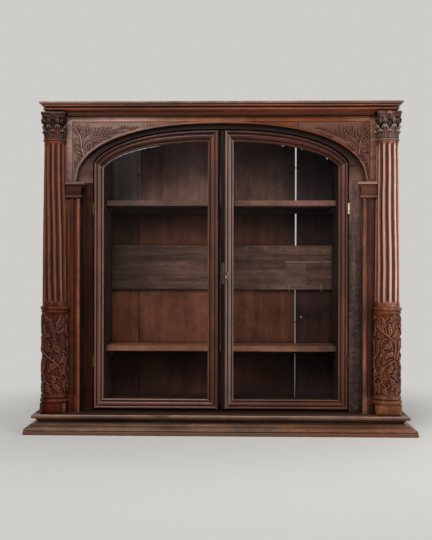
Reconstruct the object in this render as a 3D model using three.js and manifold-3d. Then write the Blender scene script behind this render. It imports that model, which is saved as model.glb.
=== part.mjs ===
// A carved oak wall display cabinet: two glazed doors under a flattened arch, a column on each front
// corner, a moulded cornice and a stepped base. Millimetres, X to the right, Y to the back, Z up. The
// origin is the middle of the base's footprint, on the surface that the cabinet stands on.

import * as THREE from 'three';
import { mergeVertices } from 'three/addons/utils/BufferGeometryUtils.js';
import Module from 'manifold-3d';

const wasm = await Module();
wasm.setup();

// Case and base
const caseHalfWidth = 515;
const caseDepth = 210;
const caseHeight = 918;
const lowerStepHeight = 33;
const lowerStepOverhang = 80;
const upperStepHeight = 25;
const upperStepOverhang = 60;
const corniceHeight = 40;
const corniceOverhang = 42;
const frameThickness = 14;
const surroundThickness = 25;
const outerSideThickness = 20;
const innerSideThickness = 32;
const topThickness = 20;
const bottomThickness = 20;

// Arched opening of the face frame, and the arched heads inside it
const archBoardHeight = 204;
const frameStileWidth = 76;
const archSetOut = 11;
const archRise = 184;
const frameArchPower = 2.3;
const doorArchPower = 2.4;
const surroundBand = 35;
const surroundReveal = 42;
const surroundBandAtCrown = 19;
const spandrelFillet = 5;
const spandrelBorder = 15;
const spandrelStile = 53;
const spandrelSink = 3.5;

// Pilasters and imposts
const pilasterWidth = 48;
const pilasterProjection = 6;
const pilasterBaseHeight = 52;
const impostHeight = 52;
const impostProjection = 12;
const impostNeckProjection = 7;

// Columns
const blockHalfSide = 40;
const blockHeight = 31;
const blockChamfer = 9;
const torusHeight = 15;
const torusRadius = 45;
const drumHeight = 272;
const drumRadius = 41.5;
const ringHeight = 12;
const ringRadius = 44;
const shaftFootRadius = 38;
const shaftNeckRadius = 33.5;
const fluteCount = 12;
const fluteDepth = 4.5;
const fluteEndLength = 12;
const capitalHeight = 89;
const capitalRise = 10;
const abacusThickness = 18;
const abacusChamfer = 9;
const abacusHollow = 6;
const voluteRadius = 9;
const voluteWidth = 13;
const leafCount = 8;
const leafRelief = 4;

// Doors
const doorThickness = 20;
const doorSetBack = 18;
const doorFloorGap = 8;
const doorArchClearance = 3;
const doorSideClearance = 2.5;
const meetingGap = 2;
const stileWidth = 29;
const headWidth = 36;
const glassInnerEdge = 40;
const lipWidth = 8;
const lipSetBack = 8;
const stripWidth = 13;
const stripSetBack = 2;
const glassThickness = 3;

// Hinges
const hingeLength = 34;
const lowerHingeHeight = 156;
const upperHingeBelowSpring = 80;
const hingeLeafDepth = 16;
const hingeLeafThickness = 0.9;
const knuckleRadius = 3.2;
const pinRadius = 1.4;
const finialRadius = 2.4;
const finialHeight = 5;

// Lock, key and the left door's bolt
const lockHeight = 431.5;
const lockCaseWidth = 27.7;
const lockCaseHeight = 60;
const lockCaseDepth = 12;
const lockCaseWall = 1.2;
const lockBoltLength = 20;
const lockBoltHeight = 12;
const lockBoltThickness = 5;
const lockBoltTravel = 9;
const lockBoltRise = 8;
const plateWidth = 11;
const plateHeight = 67;
const plateThickness = 1.2;
const keyholeFromEdge = 7.5;
const keyTilt = THREE.MathUtils.degToRad(24);
const keyShankRadius = 2;
const keyShankLength = 19;
const keyInsertion = 8.6;
const keyBitReach = 3.2;
const keyBitLength = 4;
const keyBitThickness = 1.6;
const keyBowHalfHeight = 11;
const keyBowHalfLength = 9.5;
const keyBowWire = 2.1;
const doorBoltFromEdge = 17;
const doorBoltWidth = 7;
const doorBoltDepth = 4;
const doorBoltTaper = 1 / 3;
const doorBoltLength = 70;
const doorBoltTravel = 18;
const doorBoltKnob = 4;
const doorBoltKnobHeight = 52;

// Inside
const shelfThickness = 17;
const shelfDepth = 110;
const lowerShelfHeight = 182;
const upperShelfBelowSpring = 66;
const cleatHeight = 15;
const cleatThickness = 14;
const ledgerHeight = 18;
const plankThickness = 14;
const narrowPlankGap = 3;
const widePlankGap = 5.5;
const plankGapPlaceShares = [-0.5576, 0.501];
const railHeight = 146;
const railThickness = 12;
const railBelowShelf = 124;

// Clearances
const jointGap = 0.2;
const seatGap = 0.25;
const slideGap = 0.3;
const overrun = 5;
const fuse = 0.2;

// Steps in curves
const archSteps = 44;
const fieldSteps = 28;
const headSteps = 14;
const roundSides = 64;
const columnSides = 32;
const smallSides = 16;

// Levels and planes that follow from them
const caseFloor = lowerStepHeight + upperStepHeight;
const caseTop = caseFloor + caseHeight;
const pedestalHeight = blockHeight + torusHeight + drumHeight;
const columnHeight = caseHeight + capitalRise;
const shaftHeight = columnHeight - pedestalHeight - ringHeight - capitalHeight;
const openingHalfWidth = caseHalfWidth - frameStileWidth;
const archHalfSpan = openingHalfWidth + archSetOut;
const doorHalfWidth = openingHalfWidth - surroundReveal;
const corniceTop = caseTop + corniceHeight;
const springLine = caseTop - archBoardHeight;
const surroundFront = frameThickness;
const surroundBack = surroundFront + surroundThickness;
const doorFront = doorSetBack;
const doorBack = doorFront + doorThickness;
const interiorFront = surroundBack;
const planksFront = caseDepth - plankThickness;
const outerSideInner = caseHalfWidth - outerSideThickness;
const jambEdge = doorHalfWidth + doorSideClearance;
const innerSideOuter = jambEdge - slideGap;
const innerSideInner = innerSideOuter - innerSideThickness;
const doorFloor = caseFloor + doorFloorGap;
const doorMeeting = meetingGap / 2;
const leftMoulding = doorMeeting + lipWidth;
const rightMoulding = doorMeeting + stripWidth;
const hingeMiddles = {
  lower: caseFloor + lowerHingeHeight,
  upper: springLine - upperHingeBelowSpring,
};
const shelfLevels = {
  lower: caseFloor + lowerShelfHeight,
  upper: springLine - upperShelfBelowSpring,
};
const hingeX = doorHalfWidth + doorSideClearance / 2;
const hingeY = doorSetBack - knuckleRadius / 2;
const lockMiddle = caseFloor + lockHeight;
const keyholeX = doorMeeting + keyholeFromEdge;
const keyholeZ = lockMiddle - lockBoltRise;
const stripFront = doorFront + stripSetBack;

// Surface looks
const looks = {
  oak: new THREE.MeshStandardMaterial({ color: 0x6e4a33, roughness: 0.5 }),
  paleOak: new THREE.MeshStandardMaterial({ color: 0x84604a, roughness: 0.5 }),
  oldOak: new THREE.MeshStandardMaterial({ color: 0x54402f, roughness: 0.75 }),
  glass: new THREE.MeshStandardMaterial({
    color: 0xdfe6e2, roughness: 0.05, transparent: true, opacity: 0.25,
  }),
  brass: new THREE.MeshStandardMaterial({ color: 0xa08455, roughness: 0.4, metalness: 1 }),
  steel: new THREE.MeshStandardMaterial({ color: 0x6f6a63, roughness: 0.45, metalness: 1 }),
};

// The whole model is laid out with the face frame's front at Y = 0, and this group moves its
// footprint's middle to the origin.
const cabinet = new THREE.Group();
const carcase = new THREE.Group();
carcase.position.y = (lowerStepOverhang - caseDepth) / 2;
cabinet.add(carcase);

// What moves has a group of its own, whose origin is on its hinge line or at its seat
function movingGroup(parent, x, y, z) {
  const group = new THREE.Group();
  group.position.set(x, y, z);
  parent.add(group);
  parent.updateWorldMatrix(true, false);
  return group;
}

const doors = {
  left: movingGroup(carcase, -hingeX, hingeY, 0),
  right: movingGroup(carcase, hingeX, hingeY, 0),
};
const plateFront = stripFront - plateThickness;
const keyGroup = movingGroup(doors.right, keyholeX - hingeX, plateFront - hingeY, keyholeZ);
keyGroup.rotation.z = keyTilt;
const lockBoltGroup = movingGroup(doors.right, 0, 0, 0);
const doorBoltGroup = movingGroup(doors.left, 0, 0, 0);

// Adds a piece whose geometry is in the carcase's frame to a group
function addTo(group, name, geometry, look) {
  group.updateWorldMatrix(true, false);
  const toGroup = group.matrixWorld.clone().invert().multiply(carcase.matrixWorld);
  const mesh = new THREE.Mesh(geometry.applyMatrix4(toGroup), look.clone());
  mesh.name = name;
  group.add(mesh);
}

function add(name, geometry, look) {
  addTo(carcase, name, geometry, look);
}

// Triangles that fill a flat closed ring of points, in the ring's own turning sense
function ringFaces(ring) {
  const normal = new THREE.Vector3();
  ring.forEach((a, i) => normal.add(a.clone().cross(ring[(i + 1) % ring.length])));
  normal.normalize();
  const helper = Math.abs(normal.z) < 0.9 ? new THREE.Vector3(0, 0, 1) : new THREE.Vector3(1, 0, 0);
  const right = helper.cross(normal).normalize();
  const up = normal.clone().cross(right);
  const flat = ring.map((p) => new THREE.Vector2(p.dot(right), p.dot(up)));
  return THREE.ShapeUtils.triangulateShape(flat, []);
}

function volumeOf(points, faces) {
  let sum = 0;
  for (let i = 0; i < faces.length; i += 3) {
    const [a, b, c] = [points[faces[i]], points[faces[i + 1]], points[faces[i + 2]]];
    sum += a.dot(b.clone().cross(c));
  }
  return sum;
}

// A closed body through a row of rings with equal numbers of points, with flat ends and its faces outward
function loft(rings) {
  const count = rings[0].length;
  const points = rings.flat();
  const faces = [];
  for (let r = 0; r + 1 < rings.length; r += 1) {
    for (let i = 0; i < count; i += 1) {
      const a = r * count + i;
      const b = r * count + ((i + 1) % count);
      faces.push(a, b, b + count, a, b + count, a + count);
    }
  }
  const last = (rings.length - 1) * count;
  ringFaces(rings[0]).forEach(([a, b, c]) => faces.push(c, b, a));
  ringFaces(rings[rings.length - 1]).forEach(([a, b, c]) => faces.push(last + a, last + b, last + c));
  if (volumeOf(points, faces) < 0) faces.reverse();
  const geometry = new THREE.BufferGeometry().setFromPoints(points);
  geometry.setIndex(faces);
  return geometry;
}

function toSolid(geometry) {
  const bare = geometry.clone();
  bare.deleteAttribute('normal');
  bare.deleteAttribute('uv');
  const merged = mergeVertices(bare);
  return new wasm.Manifold(new wasm.Mesh({
    numProp: 3,
    vertProperties: new Float32Array(merged.attributes.position.array),
    triVerts: new Uint32Array(merged.index.array),
  }));
}

function toGeometry(solid) {
  const mesh = solid.getMesh();
  const geometry = new THREE.BufferGeometry();
  geometry.setAttribute('position', new THREE.BufferAttribute(mesh.vertProperties, 3));
  geometry.setIndex(new THREE.BufferAttribute(mesh.triVerts, 1));
  return geometry;
}

function cut(geometry, ...tools) {
  return toGeometry(tools.reduce((solid, tool) => solid.subtract(toSolid(tool)), toSolid(geometry)));
}

function join(geometry, ...others) {
  return toGeometry(others.reduce((solid, other) => solid.add(toSolid(other)), toSolid(geometry)));
}

// The same piece on the other side of the cabinet
function mirrored(geometry) {
  const copy = geometry.clone();
  copy.scale(-1, 1, 1);
  const index = Array.from(copy.index.array);
  copy.setIndex(index.reverse());
  return copy;
}

function onSide(side, geometry) {
  return side === 'right' ? geometry : mirrored(geometry);
}

function block([x0, x1], [y0, y1], [z0, z1]) {
  const geometry = new THREE.BoxGeometry(x1 - x0, y1 - y0, z1 - z0);
  geometry.translate((x0 + x1) / 2, (y0 + y1) / 2, (z0 + z1) / 2);
  return geometry;
}

// An upright round bar
function bar(radius, x, y, [z0, z1], sides) {
  const geometry = new THREE.CylinderGeometry(radius, radius, z1 - z0, sides);
  geometry.rotateX(Math.PI / 2);
  geometry.translate(x, y, (z0 + z1) / 2);
  return geometry;
}

// A board cut to an outline of [x, z] points, standing between two planes of Y
function panel(outline, y0, y1) {
  return loft([y0, y1].map((y) => outline.map(([x, z]) => new THREE.Vector3(x, y, z))));
}

// Flattened arches: superellipses that spring at the impost line
const frameArch = { halfSpan: archHalfSpan, rise: archRise, power: frameArchPower };
const doorArch = {
  halfSpan: archHalfSpan - surroundBand,
  rise: archRise - surroundBandAtCrown,
  power: doorArchPower,
};
const glassArch = {
  halfSpan: doorArch.halfSpan - stileWidth,
  rise: doorArch.rise - headWidth,
  power: doorArchPower,
};

function widened(arch, by) {
  return { ...arch, halfSpan: arch.halfSpan + by, rise: arch.rise + by };
}

function archHeight({ halfSpan, rise, power }, x) {
  return springLine + rise * (1 - Math.abs(x / halfSpan) ** power) ** (1 / power);
}

// Points along an arch from its right springing to its crown, or on to its left springing
function archPoints({ halfSpan, rise, power }, steps, turn = Math.PI) {
  return Array.from({ length: steps + 1 }, (_, i) => {
    const angle = (turn * i) / steps;
    const across = Math.abs(Math.cos(angle)) < 1e-9 ? 0 : Math.cos(angle);
    return [
      halfSpan * Math.sign(across) * Math.abs(across) ** (2 / power),
      springLine + rise * Math.abs(Math.sin(angle)) ** (2 / power),
    ];
  });
}

// Base: each step is a board whose front and side edges are moulded. A section is a list of
// [share of the overhang, share of the height], from the bottom up.
function mouldedBoard(sectionShares, overhang, floor, height) {
  return loft(sectionShares.map(([out, up]) => {
    const x = caseHalfWidth + overhang * out;
    const y = -overhang * out;
    const z = floor + height * up;
    const corners = [[-x, y], [x, y], [x, caseDepth], [-x, caseDepth]];
    return corners.map(([px, py]) => new THREE.Vector3(px, py, z));
  }));
}

const lowerStepShares = [
  [1, 0], [1, 0.3], [0.965, 0.34], [0.985, 0.42], [0.975, 0.54], [0.92, 0.66], [0.83, 0.77],
  [0.75, 0.82], [0.75, 0.9], [0.63, 0.94], [0.58, 1],
];
const upperStepShares = [
  [0.73, 0], [0.73, 0.14], [0.75, 0.3], [0.81, 0.44], [0.84, 0.54], [0.93, 0.56], [0.99, 0.66],
  [1, 0.76], [0.985, 0.9], [0.94, 1],
];

const boltSocketHalf = doorBoltWidth / 2 + slideGap;
const boltSocket = block(
  [-doorBoltFromEdge - boltSocketHalf, -doorBoltFromEdge + boltSocketHalf],
  [doorBack - doorBoltDepth - 2 * slideGap, doorBack + slideGap],
  [caseFloor - doorBoltTravel + overrun, caseFloor + overrun],
);

function addBase() {
  const lower = mouldedBoard(lowerStepShares, lowerStepOverhang, 0, lowerStepHeight);
  add('base_lower_step', lower, looks.paleOak);
  const upper = mouldedBoard(upperStepShares, upperStepOverhang, lowerStepHeight, upperStepHeight);
  add('base_upper_step', cut(upper, boltSocket), looks.paleOak);
}

// Carcase
function addCarcase() {
  const upright = [caseFloor, caseTop];
  const inside = [interiorFront, planksFront];
  for (const side of ['left', 'right']) {
    const outer = block([outerSideInner, caseHalfWidth], [frameThickness, caseDepth], upright);
    add(`side_${side}`, onSide(side, outer), looks.oak);
    const inner = block([innerSideInner, innerSideOuter], inside, [caseFloor + bottomThickness, caseTop]);
    add(`inner_side_${side}`, onSide(side, inner), looks.oldOak);
  }
  const between = [-outerSideInner, outerSideInner];
  add('bottom_board', block(between, inside, [caseFloor, caseFloor + bottomThickness]), looks.oldOak);
  const overAll = [-caseHalfWidth, caseHalfWidth];
  add('top_board', block(overAll, [0, caseDepth], [caseTop, caseTop + topThickness]), looks.oldOak);
  const edges = [-outerSideInner];
  [narrowPlankGap, widePlankGap].forEach((width, i) => {
    const middle = outerSideInner * plankGapPlaceShares[i];
    edges.push(middle - width / 2, middle + width / 2);
  });
  edges.push(outerSideInner);
  ['left', 'middle', 'right'].forEach((place, i) => {
    const plank = block([edges[2 * i], edges[2 * i + 1]], [planksFront, caseDepth], upright);
    add(`back_plank_${place}`, plank, looks.oldOak);
  });
  const railTop = shelfLevels.upper - railBelowShelf;
  const railZ = [railTop - railHeight, railTop];
  const railX = innerSideInner - slideGap;
  const rail = block([-railX, railX], [planksFront - railThickness, planksFront], railZ);
  add('back_rail', rail, looks.oldOak);
}

// Shelves on cleats and ledgers
function addShelves() {
  const halfWidth = innerSideInner - slideGap;
  for (const [level, under] of Object.entries(shelfLevels)) {
    const front = planksFront - shelfDepth;
    const shelf = block([-halfWidth, halfWidth], [front, planksFront], [under, under + shelfThickness]);
    add(`shelf_${level}`, shelf, looks.oldOak);
    for (const side of ['left', 'right']) {
      const cleat = block([innerSideInner - cleatThickness, innerSideInner],
        [front + cleatThickness, planksFront - cleatThickness], [under - cleatHeight, under]);
      add(`shelf_cleat_${level}_${side}`, onSide(side, cleat), looks.oldOak);
    }
    const ledger = block([-halfWidth, halfWidth], [planksFront - cleatThickness, planksFront],
      [under - ledgerHeight, under]);
    add(`shelf_ledger_${level}`, ledger, looks.oldOak);
  }
}

// Columns stand over the case's front corners, with the corner let into a quarter notch in their backs
const columnLevels = {
  block: caseFloor,
  torus: caseFloor + blockHeight,
  drum: caseFloor + blockHeight + torusHeight,
};
columnLevels.ring = columnLevels.drum + drumHeight;
columnLevels.shaft = columnLevels.ring + ringHeight;
columnLevels.capital = columnLevels.shaft + shaftHeight;
columnLevels.top = columnLevels.capital + capitalHeight;

function cornerNotch() {
  const reach = 2 * torusRadius;
  return block([caseHalfWidth - reach, caseHalfWidth + seatGap], [-seatGap, reach], [0, corniceTop]);
}

// A body around the column's axis. Each level is its height and its radius at an angle.
function turned(levels, sides) {
  return loft(levels.map(({ z, radiusAt }) => Array.from({ length: sides }, (_, i) => {
    const angle = (2 * Math.PI * i) / sides;
    const radius = radiusAt(angle, i);
    return new THREE.Vector3(caseHalfWidth + radius * Math.cos(angle), radius * Math.sin(angle), z);
  })));
}

// Section shares are [share of the radius, share of the height]
function plainLevels(sectionShares, radius, floor, height) {
  return sectionShares.map(([out, up]) => ({ z: floor + height * up, radiusAt: () => radius * out }));
}

function squareOutline(half, chamfer, hollow) {
  const steps = hollow > 0 ? 6 : 1;
  const outline = [];
  for (let side = 0; side < 4; side += 1) {
    const angle = (side * Math.PI) / 2;
    for (let i = 0; i <= steps; i += 1) {
      const along = (half - chamfer) * ((2 * i) / steps - 1);
      const out = half - hollow * Math.cos((along / half) * (Math.PI / 2));
      outline.push([
        caseHalfWidth + out * Math.cos(angle) - along * Math.sin(angle),
        out * Math.sin(angle) + along * Math.cos(angle),
      ]);
    }
  }
  return outline;
}

function slab(outline, z0, z1) {
  return loft([z0, z1].map((z) => outline.map(([x, y]) => new THREE.Vector3(x, y, z))));
}

function pedestal() {
  const square = squareOutline(blockHalfSide, blockChamfer, 0);
  const foot = slab(square, columnLevels.block, columnLevels.torus);
  const torusShares = [
    [0.93, 0], [0.97, 0.08], [1, 0.3], [1, 0.6], [0.96, 0.85], [0.92, 0.9], [0.92, 1],
  ];
  const drumShares = [
    [0.97, 0], [1.03, 0.012], [1.03, 0.03], [0.98, 0.038], [1, 0.06], [1, 0.95], [0.99, 0.975], [0.96, 1],
  ];
  const round = turned([
    ...plainLevels(torusShares, torusRadius, columnLevels.torus - fuse, torusHeight + fuse),
    ...plainLevels(drumShares, drumRadius, columnLevels.drum + fuse, drumHeight - fuse),
  ], columnSides);
  return cut(join(foot, round), cornerNotch());
}

// Radius of the shaft at a share of its height, with a slight swelling
function shaftRadius(share) {
  return THREE.MathUtils.lerp(shaftFootRadius, shaftNeckRadius, share ** 1.4);
}

function shaft() {
  const floor = columnLevels.ring;
  const height = ringHeight + shaftHeight;
  const fluteShares = [0, 0.72, 1, 0.72, 0];
  const sides = fluteCount * fluteShares.length;
  const ringShares = [[0.93, 0], [1, 0.25], [1, 0.7], [0.9, 1]];
  const round = (z, out) => ({ z, radiusAt: () => out });
  const fluted = (z, out, depth) => ({
    z,
    radiusAt: (_, i) => out - depth * fluteShares[i % fluteShares.length],
  });
  const start = columnLevels.shaft + fluteEndLength;
  const end = columnLevels.capital - fluteEndLength;
  const endShares = [[0, 0], [0.35, 0.75], [1, 1]];
  const middleShares = [0.33, 0.66];
  const radiusAtHeight = (z) => shaftRadius((z - columnLevels.shaft) / shaftHeight);
  const levels = [
    ...plainLevels(ringShares, ringRadius, floor + jointGap, ringHeight - jointGap),
    round(columnLevels.shaft + fuse, shaftFootRadius),
  ];
  endShares.forEach(([up, depth]) => {
    const z = start + fluteEndLength * up;
    levels.push(fluted(z, radiusAtHeight(z), fluteDepth * depth));
  });
  middleShares.forEach((share) => {
    const z = THREE.MathUtils.lerp(start, end, share);
    levels.push(fluted(z, radiusAtHeight(z), fluteDepth));
  });
  [...endShares].reverse().forEach(([up, depth]) => {
    const z = end - fluteEndLength * up;
    levels.push(fluted(z, radiusAtHeight(z), fluteDepth * depth));
  });
  levels.push(round(floor + height - jointGap, shaftNeckRadius));
  return cut(turned(levels, sides), cornerNotch());
}

function volute(angle) {
  const geometry = new THREE.CylinderGeometry(voluteRadius, voluteRadius, voluteWidth, smallSides);
  geometry.rotateZ(angle);
  const reach = Math.SQRT2 * (blockHalfSide - abacusChamfer / 2) - voluteRadius;
  geometry.translate(caseHalfWidth + reach * Math.cos(angle), reach * Math.sin(angle),
    columnLevels.top - abacusThickness - voluteRadius + fuse);
  return geometry;
}

function capital() {
  const sides = 4 * leafCount;
  const bellShares = [
    [1.08, 0, 0], [1.12, 0.05, 0], [1.05, 0.09, 0], [1.02, 0.12, 0.3], [1.05, 0.24, 0.8], [1.12, 0.36, 1],
    [1.02, 0.42, 0.2], [1.05, 0.55, 0.4], [1.12, 0.7, 0.2], [1.12, 0.82, 0],
  ];
  const bell = turned(bellShares.map(([out, up, leaf]) => ({
    z: columnLevels.capital + capitalHeight * up,
    radiusAt: (angle) => {
      const lobe = Math.abs(Math.cos((leafCount / 2) * angle));
      return shaftNeckRadius * out + leafRelief * leaf * lobe;
    },
  })), sides);
  const abacus = slab(squareOutline(blockHalfSide, abacusChamfer, abacusHollow),
    columnLevels.top - abacusThickness, columnLevels.top);
  const corners = [-1, 1, -3].map((turn) => volute((turn * Math.PI) / 4));
  return cut(join(bell, abacus, ...corners), cornerNotch());
}

function addColumns() {
  for (const side of ['left', 'right']) {
    add(`column_pedestal_${side}`, onSide(side, pedestal()), looks.oak);
    add(`column_shaft_${side}`, onSide(side, shaft()), looks.oak);
    add(`column_capital_${side}`, onSide(side, capital()), looks.oak);
  }
}

// Face frame
const pilasterShares = [
  [0, 0.7], [0.04, 1], [0.15, 1], [0.19, 0.75], [0.21, 0.25], [0.32, 0.25], [0.35, 0.85], [0.46, 0.92],
  [0.52, 0.7], [0.64, 0.3], [0.82, 0.16], [1, 0.16],
];

// The room that a column's shaft takes, over its whole height
function shaftRoom() {
  const shares = [0, 0.25, 0.5, 0.75, 1];
  return turned(shares.map((share) => ({
    z: columnLevels.shaft + shaftHeight * share,
    radiusAt: () => shaftRadius(share) + seatGap,
  })), roundSides);
}

function frameStile() {
  const outer = openingHalfWidth + pilasterWidth;
  const baseTop = caseFloor + pilasterBaseHeight;
  const top = springLine - impostHeight;
  const board = block([openingHalfWidth, caseHalfWidth], [0, frameThickness], [caseFloor, springLine]);
  const foot = block([openingHalfWidth, outer], [-pilasterProjection, fuse], [caseFloor, baseTop]);
  const section = [
    ...pilasterShares.map(([across, out]) => (
      [openingHalfWidth + pilasterWidth * across, -pilasterProjection * out])),
    [outer, fuse], [openingHalfWidth, fuse],
  ];
  const shank = slab(section, baseTop - fuse, top);
  const pedestalSpan = [0, columnLevels.shaft + seatGap];
  const pedestalRoom = bar(torusRadius + seatGap, caseHalfWidth, 0, pedestalSpan, roundSides);
  const pilaster = cut(join(foot, shank), pedestalRoom, shaftRoom());
  return join(board, pilaster);
}

function impost() {
  const impostShares = [
    [0.2, 0], [0.34, 0.05], [0.42, 0.12], [0.34, 0.2], [0.2, 0.25], [0.2, 0.6], [0.3, 0.66], [0.5, 0.74],
    [0.8, 0.82], [0.86, 0.86], [1, 0.88], [1, 1],
  ];
  const floor = springLine - impostHeight;
  const rings = impostShares.map(([out, up]) => {
    const reach = impostProjection * out;
    const z = floor + jointGap + (impostHeight - 2 * jointGap) * up;
    const [x0, x1] = [openingHalfWidth - reach, openingHalfWidth + pilasterWidth + reach];
    const y = -impostNeckProjection - reach;
    const corners = [[x0, y], [x1, y], [x1, -jointGap], [x0, -jointGap]];
    return corners.map(([px, py]) => new THREE.Vector3(px, py, z));
  });
  return cut(loft(rings), shaftRoom());
}

// The sunk field of the right-hand spandrel: it runs from a point over the haunch down to the impost
function spandrelField() {
  const edge = widened(frameArch, spandrelFillet);
  const top = caseTop - spandrelBorder;
  const outer = caseHalfWidth - spandrelStile;
  const along = archPoints(edge, fieldSteps, Math.PI / 2).filter(([x, z]) => x < outer && z < top);
  const [tipX] = along[along.length - 1];
  const outline = [[outer, along[0][1]], ...along, [tipX, top], [outer, top]];
  return panel(outline, -overrun, spandrelSink);
}

function archBoard() {
  const outline = [
    [caseHalfWidth, springLine], [caseHalfWidth, caseTop], [-caseHalfWidth, caseTop],
    [-caseHalfWidth, springLine], ...archPoints(frameArch, archSteps).reverse(),
  ];
  const field = spandrelField();
  return cut(panel(outline, 0, frameThickness), field, mirrored(field));
}

// The recessed surround, which the doors close into
function jamb() {
  const board = block([jambEdge, outerSideInner], [surroundFront, surroundBack], [caseFloor, springLine]);
  return cut(board, ...hingeRecesses());
}

function surroundHead() {
  const arch = widened(doorArch, doorArchClearance);
  const inner = Array.from({ length: archSteps + 1 }, (_, i) => {
    const x = jambEdge * Math.cos((Math.PI * i) / archSteps);
    return [x, archHeight(arch, x)];
  });
  const outline = [
    [outerSideInner, springLine], [outerSideInner, caseTop], [-outerSideInner, caseTop],
    [-outerSideInner, springLine], [-jambEdge, springLine], ...inner.reverse(), [jambEdge, springLine],
  ];
  return panel(outline, surroundFront, surroundBack);
}

function addFaceFrame() {
  for (const side of ['left', 'right']) {
    add(`frame_stile_${side}`, onSide(side, frameStile()), looks.oak);
    add(`impost_${side}`, onSide(side, impost()), looks.paleOak);
    add(`surround_jamb_${side}`, onSide(side, jamb()), looks.oldOak);
  }
  add('arch_board', archBoard(), looks.oak);
  add('surround_head', surroundHead(), looks.oldOak);
}

// Cornice: one moulding along the front and a return on each side, mitred at the corners
const corniceShares = [
  [0, 0], [0.3, 0.02], [0.3, 0.12], [0.38, 0.15], [0.38, 0.28], [0.46, 0.33], [0.6, 0.34], [0.7, 0.4],
  [0.74, 0.47], [0.7, 0.54], [0.62, 0.59], [0.56, 0.66], [0.8, 0.68], [0.83, 0.76], [0.76, 0.82],
  [0.95, 0.85], [1, 0.9], [1, 1], [0, 1],
];

function addCornice() {
  const section = corniceShares.map(([out, up]) => [corniceOverhang * out, caseTop + corniceHeight * up]);
  const front = loft([-1, 1].map((hand) => section.map(([out, z]) => (
    new THREE.Vector3(hand * (caseHalfWidth + out - jointGap), -out, z)))));
  const capitalRoom = block(
    [caseHalfWidth - blockHalfSide - seatGap, caseHalfWidth + blockHalfSide + overrun],
    [-blockHalfSide - overrun, blockHalfSide + seatGap],
    [caseTop - overrun, columnLevels.top + seatGap],
  );
  add('cornice_front', cut(front, capitalRoom, mirrored(capitalRoom)), looks.paleOak);
  const sideReturn = loft([
    section.map(([out, z]) => new THREE.Vector3(caseHalfWidth + out, -out + jointGap, z)),
    section.map(([out, z]) => new THREE.Vector3(caseHalfWidth + out, caseDepth, z)),
  ]);
  for (const side of ['left', 'right']) {
    add(`cornice_return_${side}`, onSide(side, cut(sideReturn, capitalRoom)), looks.paleOak);
  }
}

// Doors. Every member of a door is a length of one moulding, mitred at the corners. Its section is a
// list of [share of the width from the outer edge, share of the thickness in front of the back].
const rebateShare = 0.79;
const lipShare = 0.5;
const doorShares = [
  [0, 0], [0, 0.86], [0.05, 0.97], [0.14, 1], [0.23, 0.95], [0.28, 0.8], [0.33, 0.8], [0.42, 0.93],
  [0.55, 0.96], [0.68, 0.88], [0.78, 0.72], [0.82, 0.72], [0.87, 0.84], [0.93, 0.86], [1, 0.74],
  [1, lipShare], [rebateShare, lipShare], [rebateShare, 0],
];

function member(stations) {
  return loft(stations.map(([outer, inner]) => doorShares.map(([across, forward]) => new THREE.Vector3(
    THREE.MathUtils.lerp(outer[0], inner[0], across),
    doorBack - doorThickness * forward,
    THREE.MathUtils.lerp(outer[1], inner[1], across),
  ))));
}

// Outer and inner edge of a door, in X from the cabinet's middle
function doorEdges(side) {
  return {
    hinge: [doorHalfWidth, doorHalfWidth - stileWidth],
    meeting: [side === 'left' ? leftMoulding : rightMoulding, glassInnerEdge],
  };
}

function stileStations([outerX, innerX], step) {
  return [
    [[outerX, doorFloor + step], [innerX, doorFloor + stileWidth + step]],
    [[outerX, archHeight(doorArch, outerX) - step], [innerX, archHeight(glassArch, innerX) - step]],
  ];
}

// Stations of the arched head, closer together towards the hinge, where the arch turns down
function headStations({ hinge, meeting }, steps) {
  return Array.from({ length: steps + 1 }, (_, i) => {
    const share = (i / steps) ** 1.7;
    const outerX = THREE.MathUtils.lerp(hinge[0], meeting[0], share);
    const innerX = THREE.MathUtils.lerp(hinge[1], meeting[1], share);
    return [[outerX, archHeight(doorArch, outerX)], [innerX, archHeight(glassArch, innerX)]];
  });
}

function pane(edges) {
  const share = rebateShare + slideGap / stileWidth;
  const between = ([outer, inner]) => THREE.MathUtils.lerp(outer, inner, share);
  const floor = between([doorFloor, doorFloor + stileWidth]);
  const top = headStations(edges, headSteps).map(([outer, inner]) => (
    [between([outer[0], inner[0]]), between([outer[1], inner[1]])]));
  const outline = [[top[0][0], floor], ...top, [top[top.length - 1][0], floor]];
  const front = doorBack - doorThickness * lipShare + jointGap;
  return panel(outline, front, front + glassThickness);
}

// Hinges: the frame's leaf carries the pin with the upper and lower knuckles, and the door's leaf the
// middle one
function hingeSpan(place) {
  return [hingeMiddles[place] - hingeLength / 2, hingeMiddles[place] + hingeLength / 2];
}

function hingeRecesses() {
  const reach = finialHeight + 2 * slideGap;
  return Object.keys(hingeMiddles).map((place) => {
    const [z0, z1] = hingeSpan(place);
    return bar(knuckleRadius + 3 * slideGap, hingeX, hingeY, [z0 - reach, z1 + reach], smallSides);
  });
}

function hingeLeaf(leafX, [z0, z1]) {
  const back = hingeY + knuckleRadius + 2 * slideGap;
  return block(leafX, [back, back + hingeLeafDepth], [z0, z1]);
}

function hingeTab(leafX, span) {
  return block(leafX, [hingeY, hingeY + knuckleRadius + 2 * slideGap + fuse], span);
}

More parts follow.
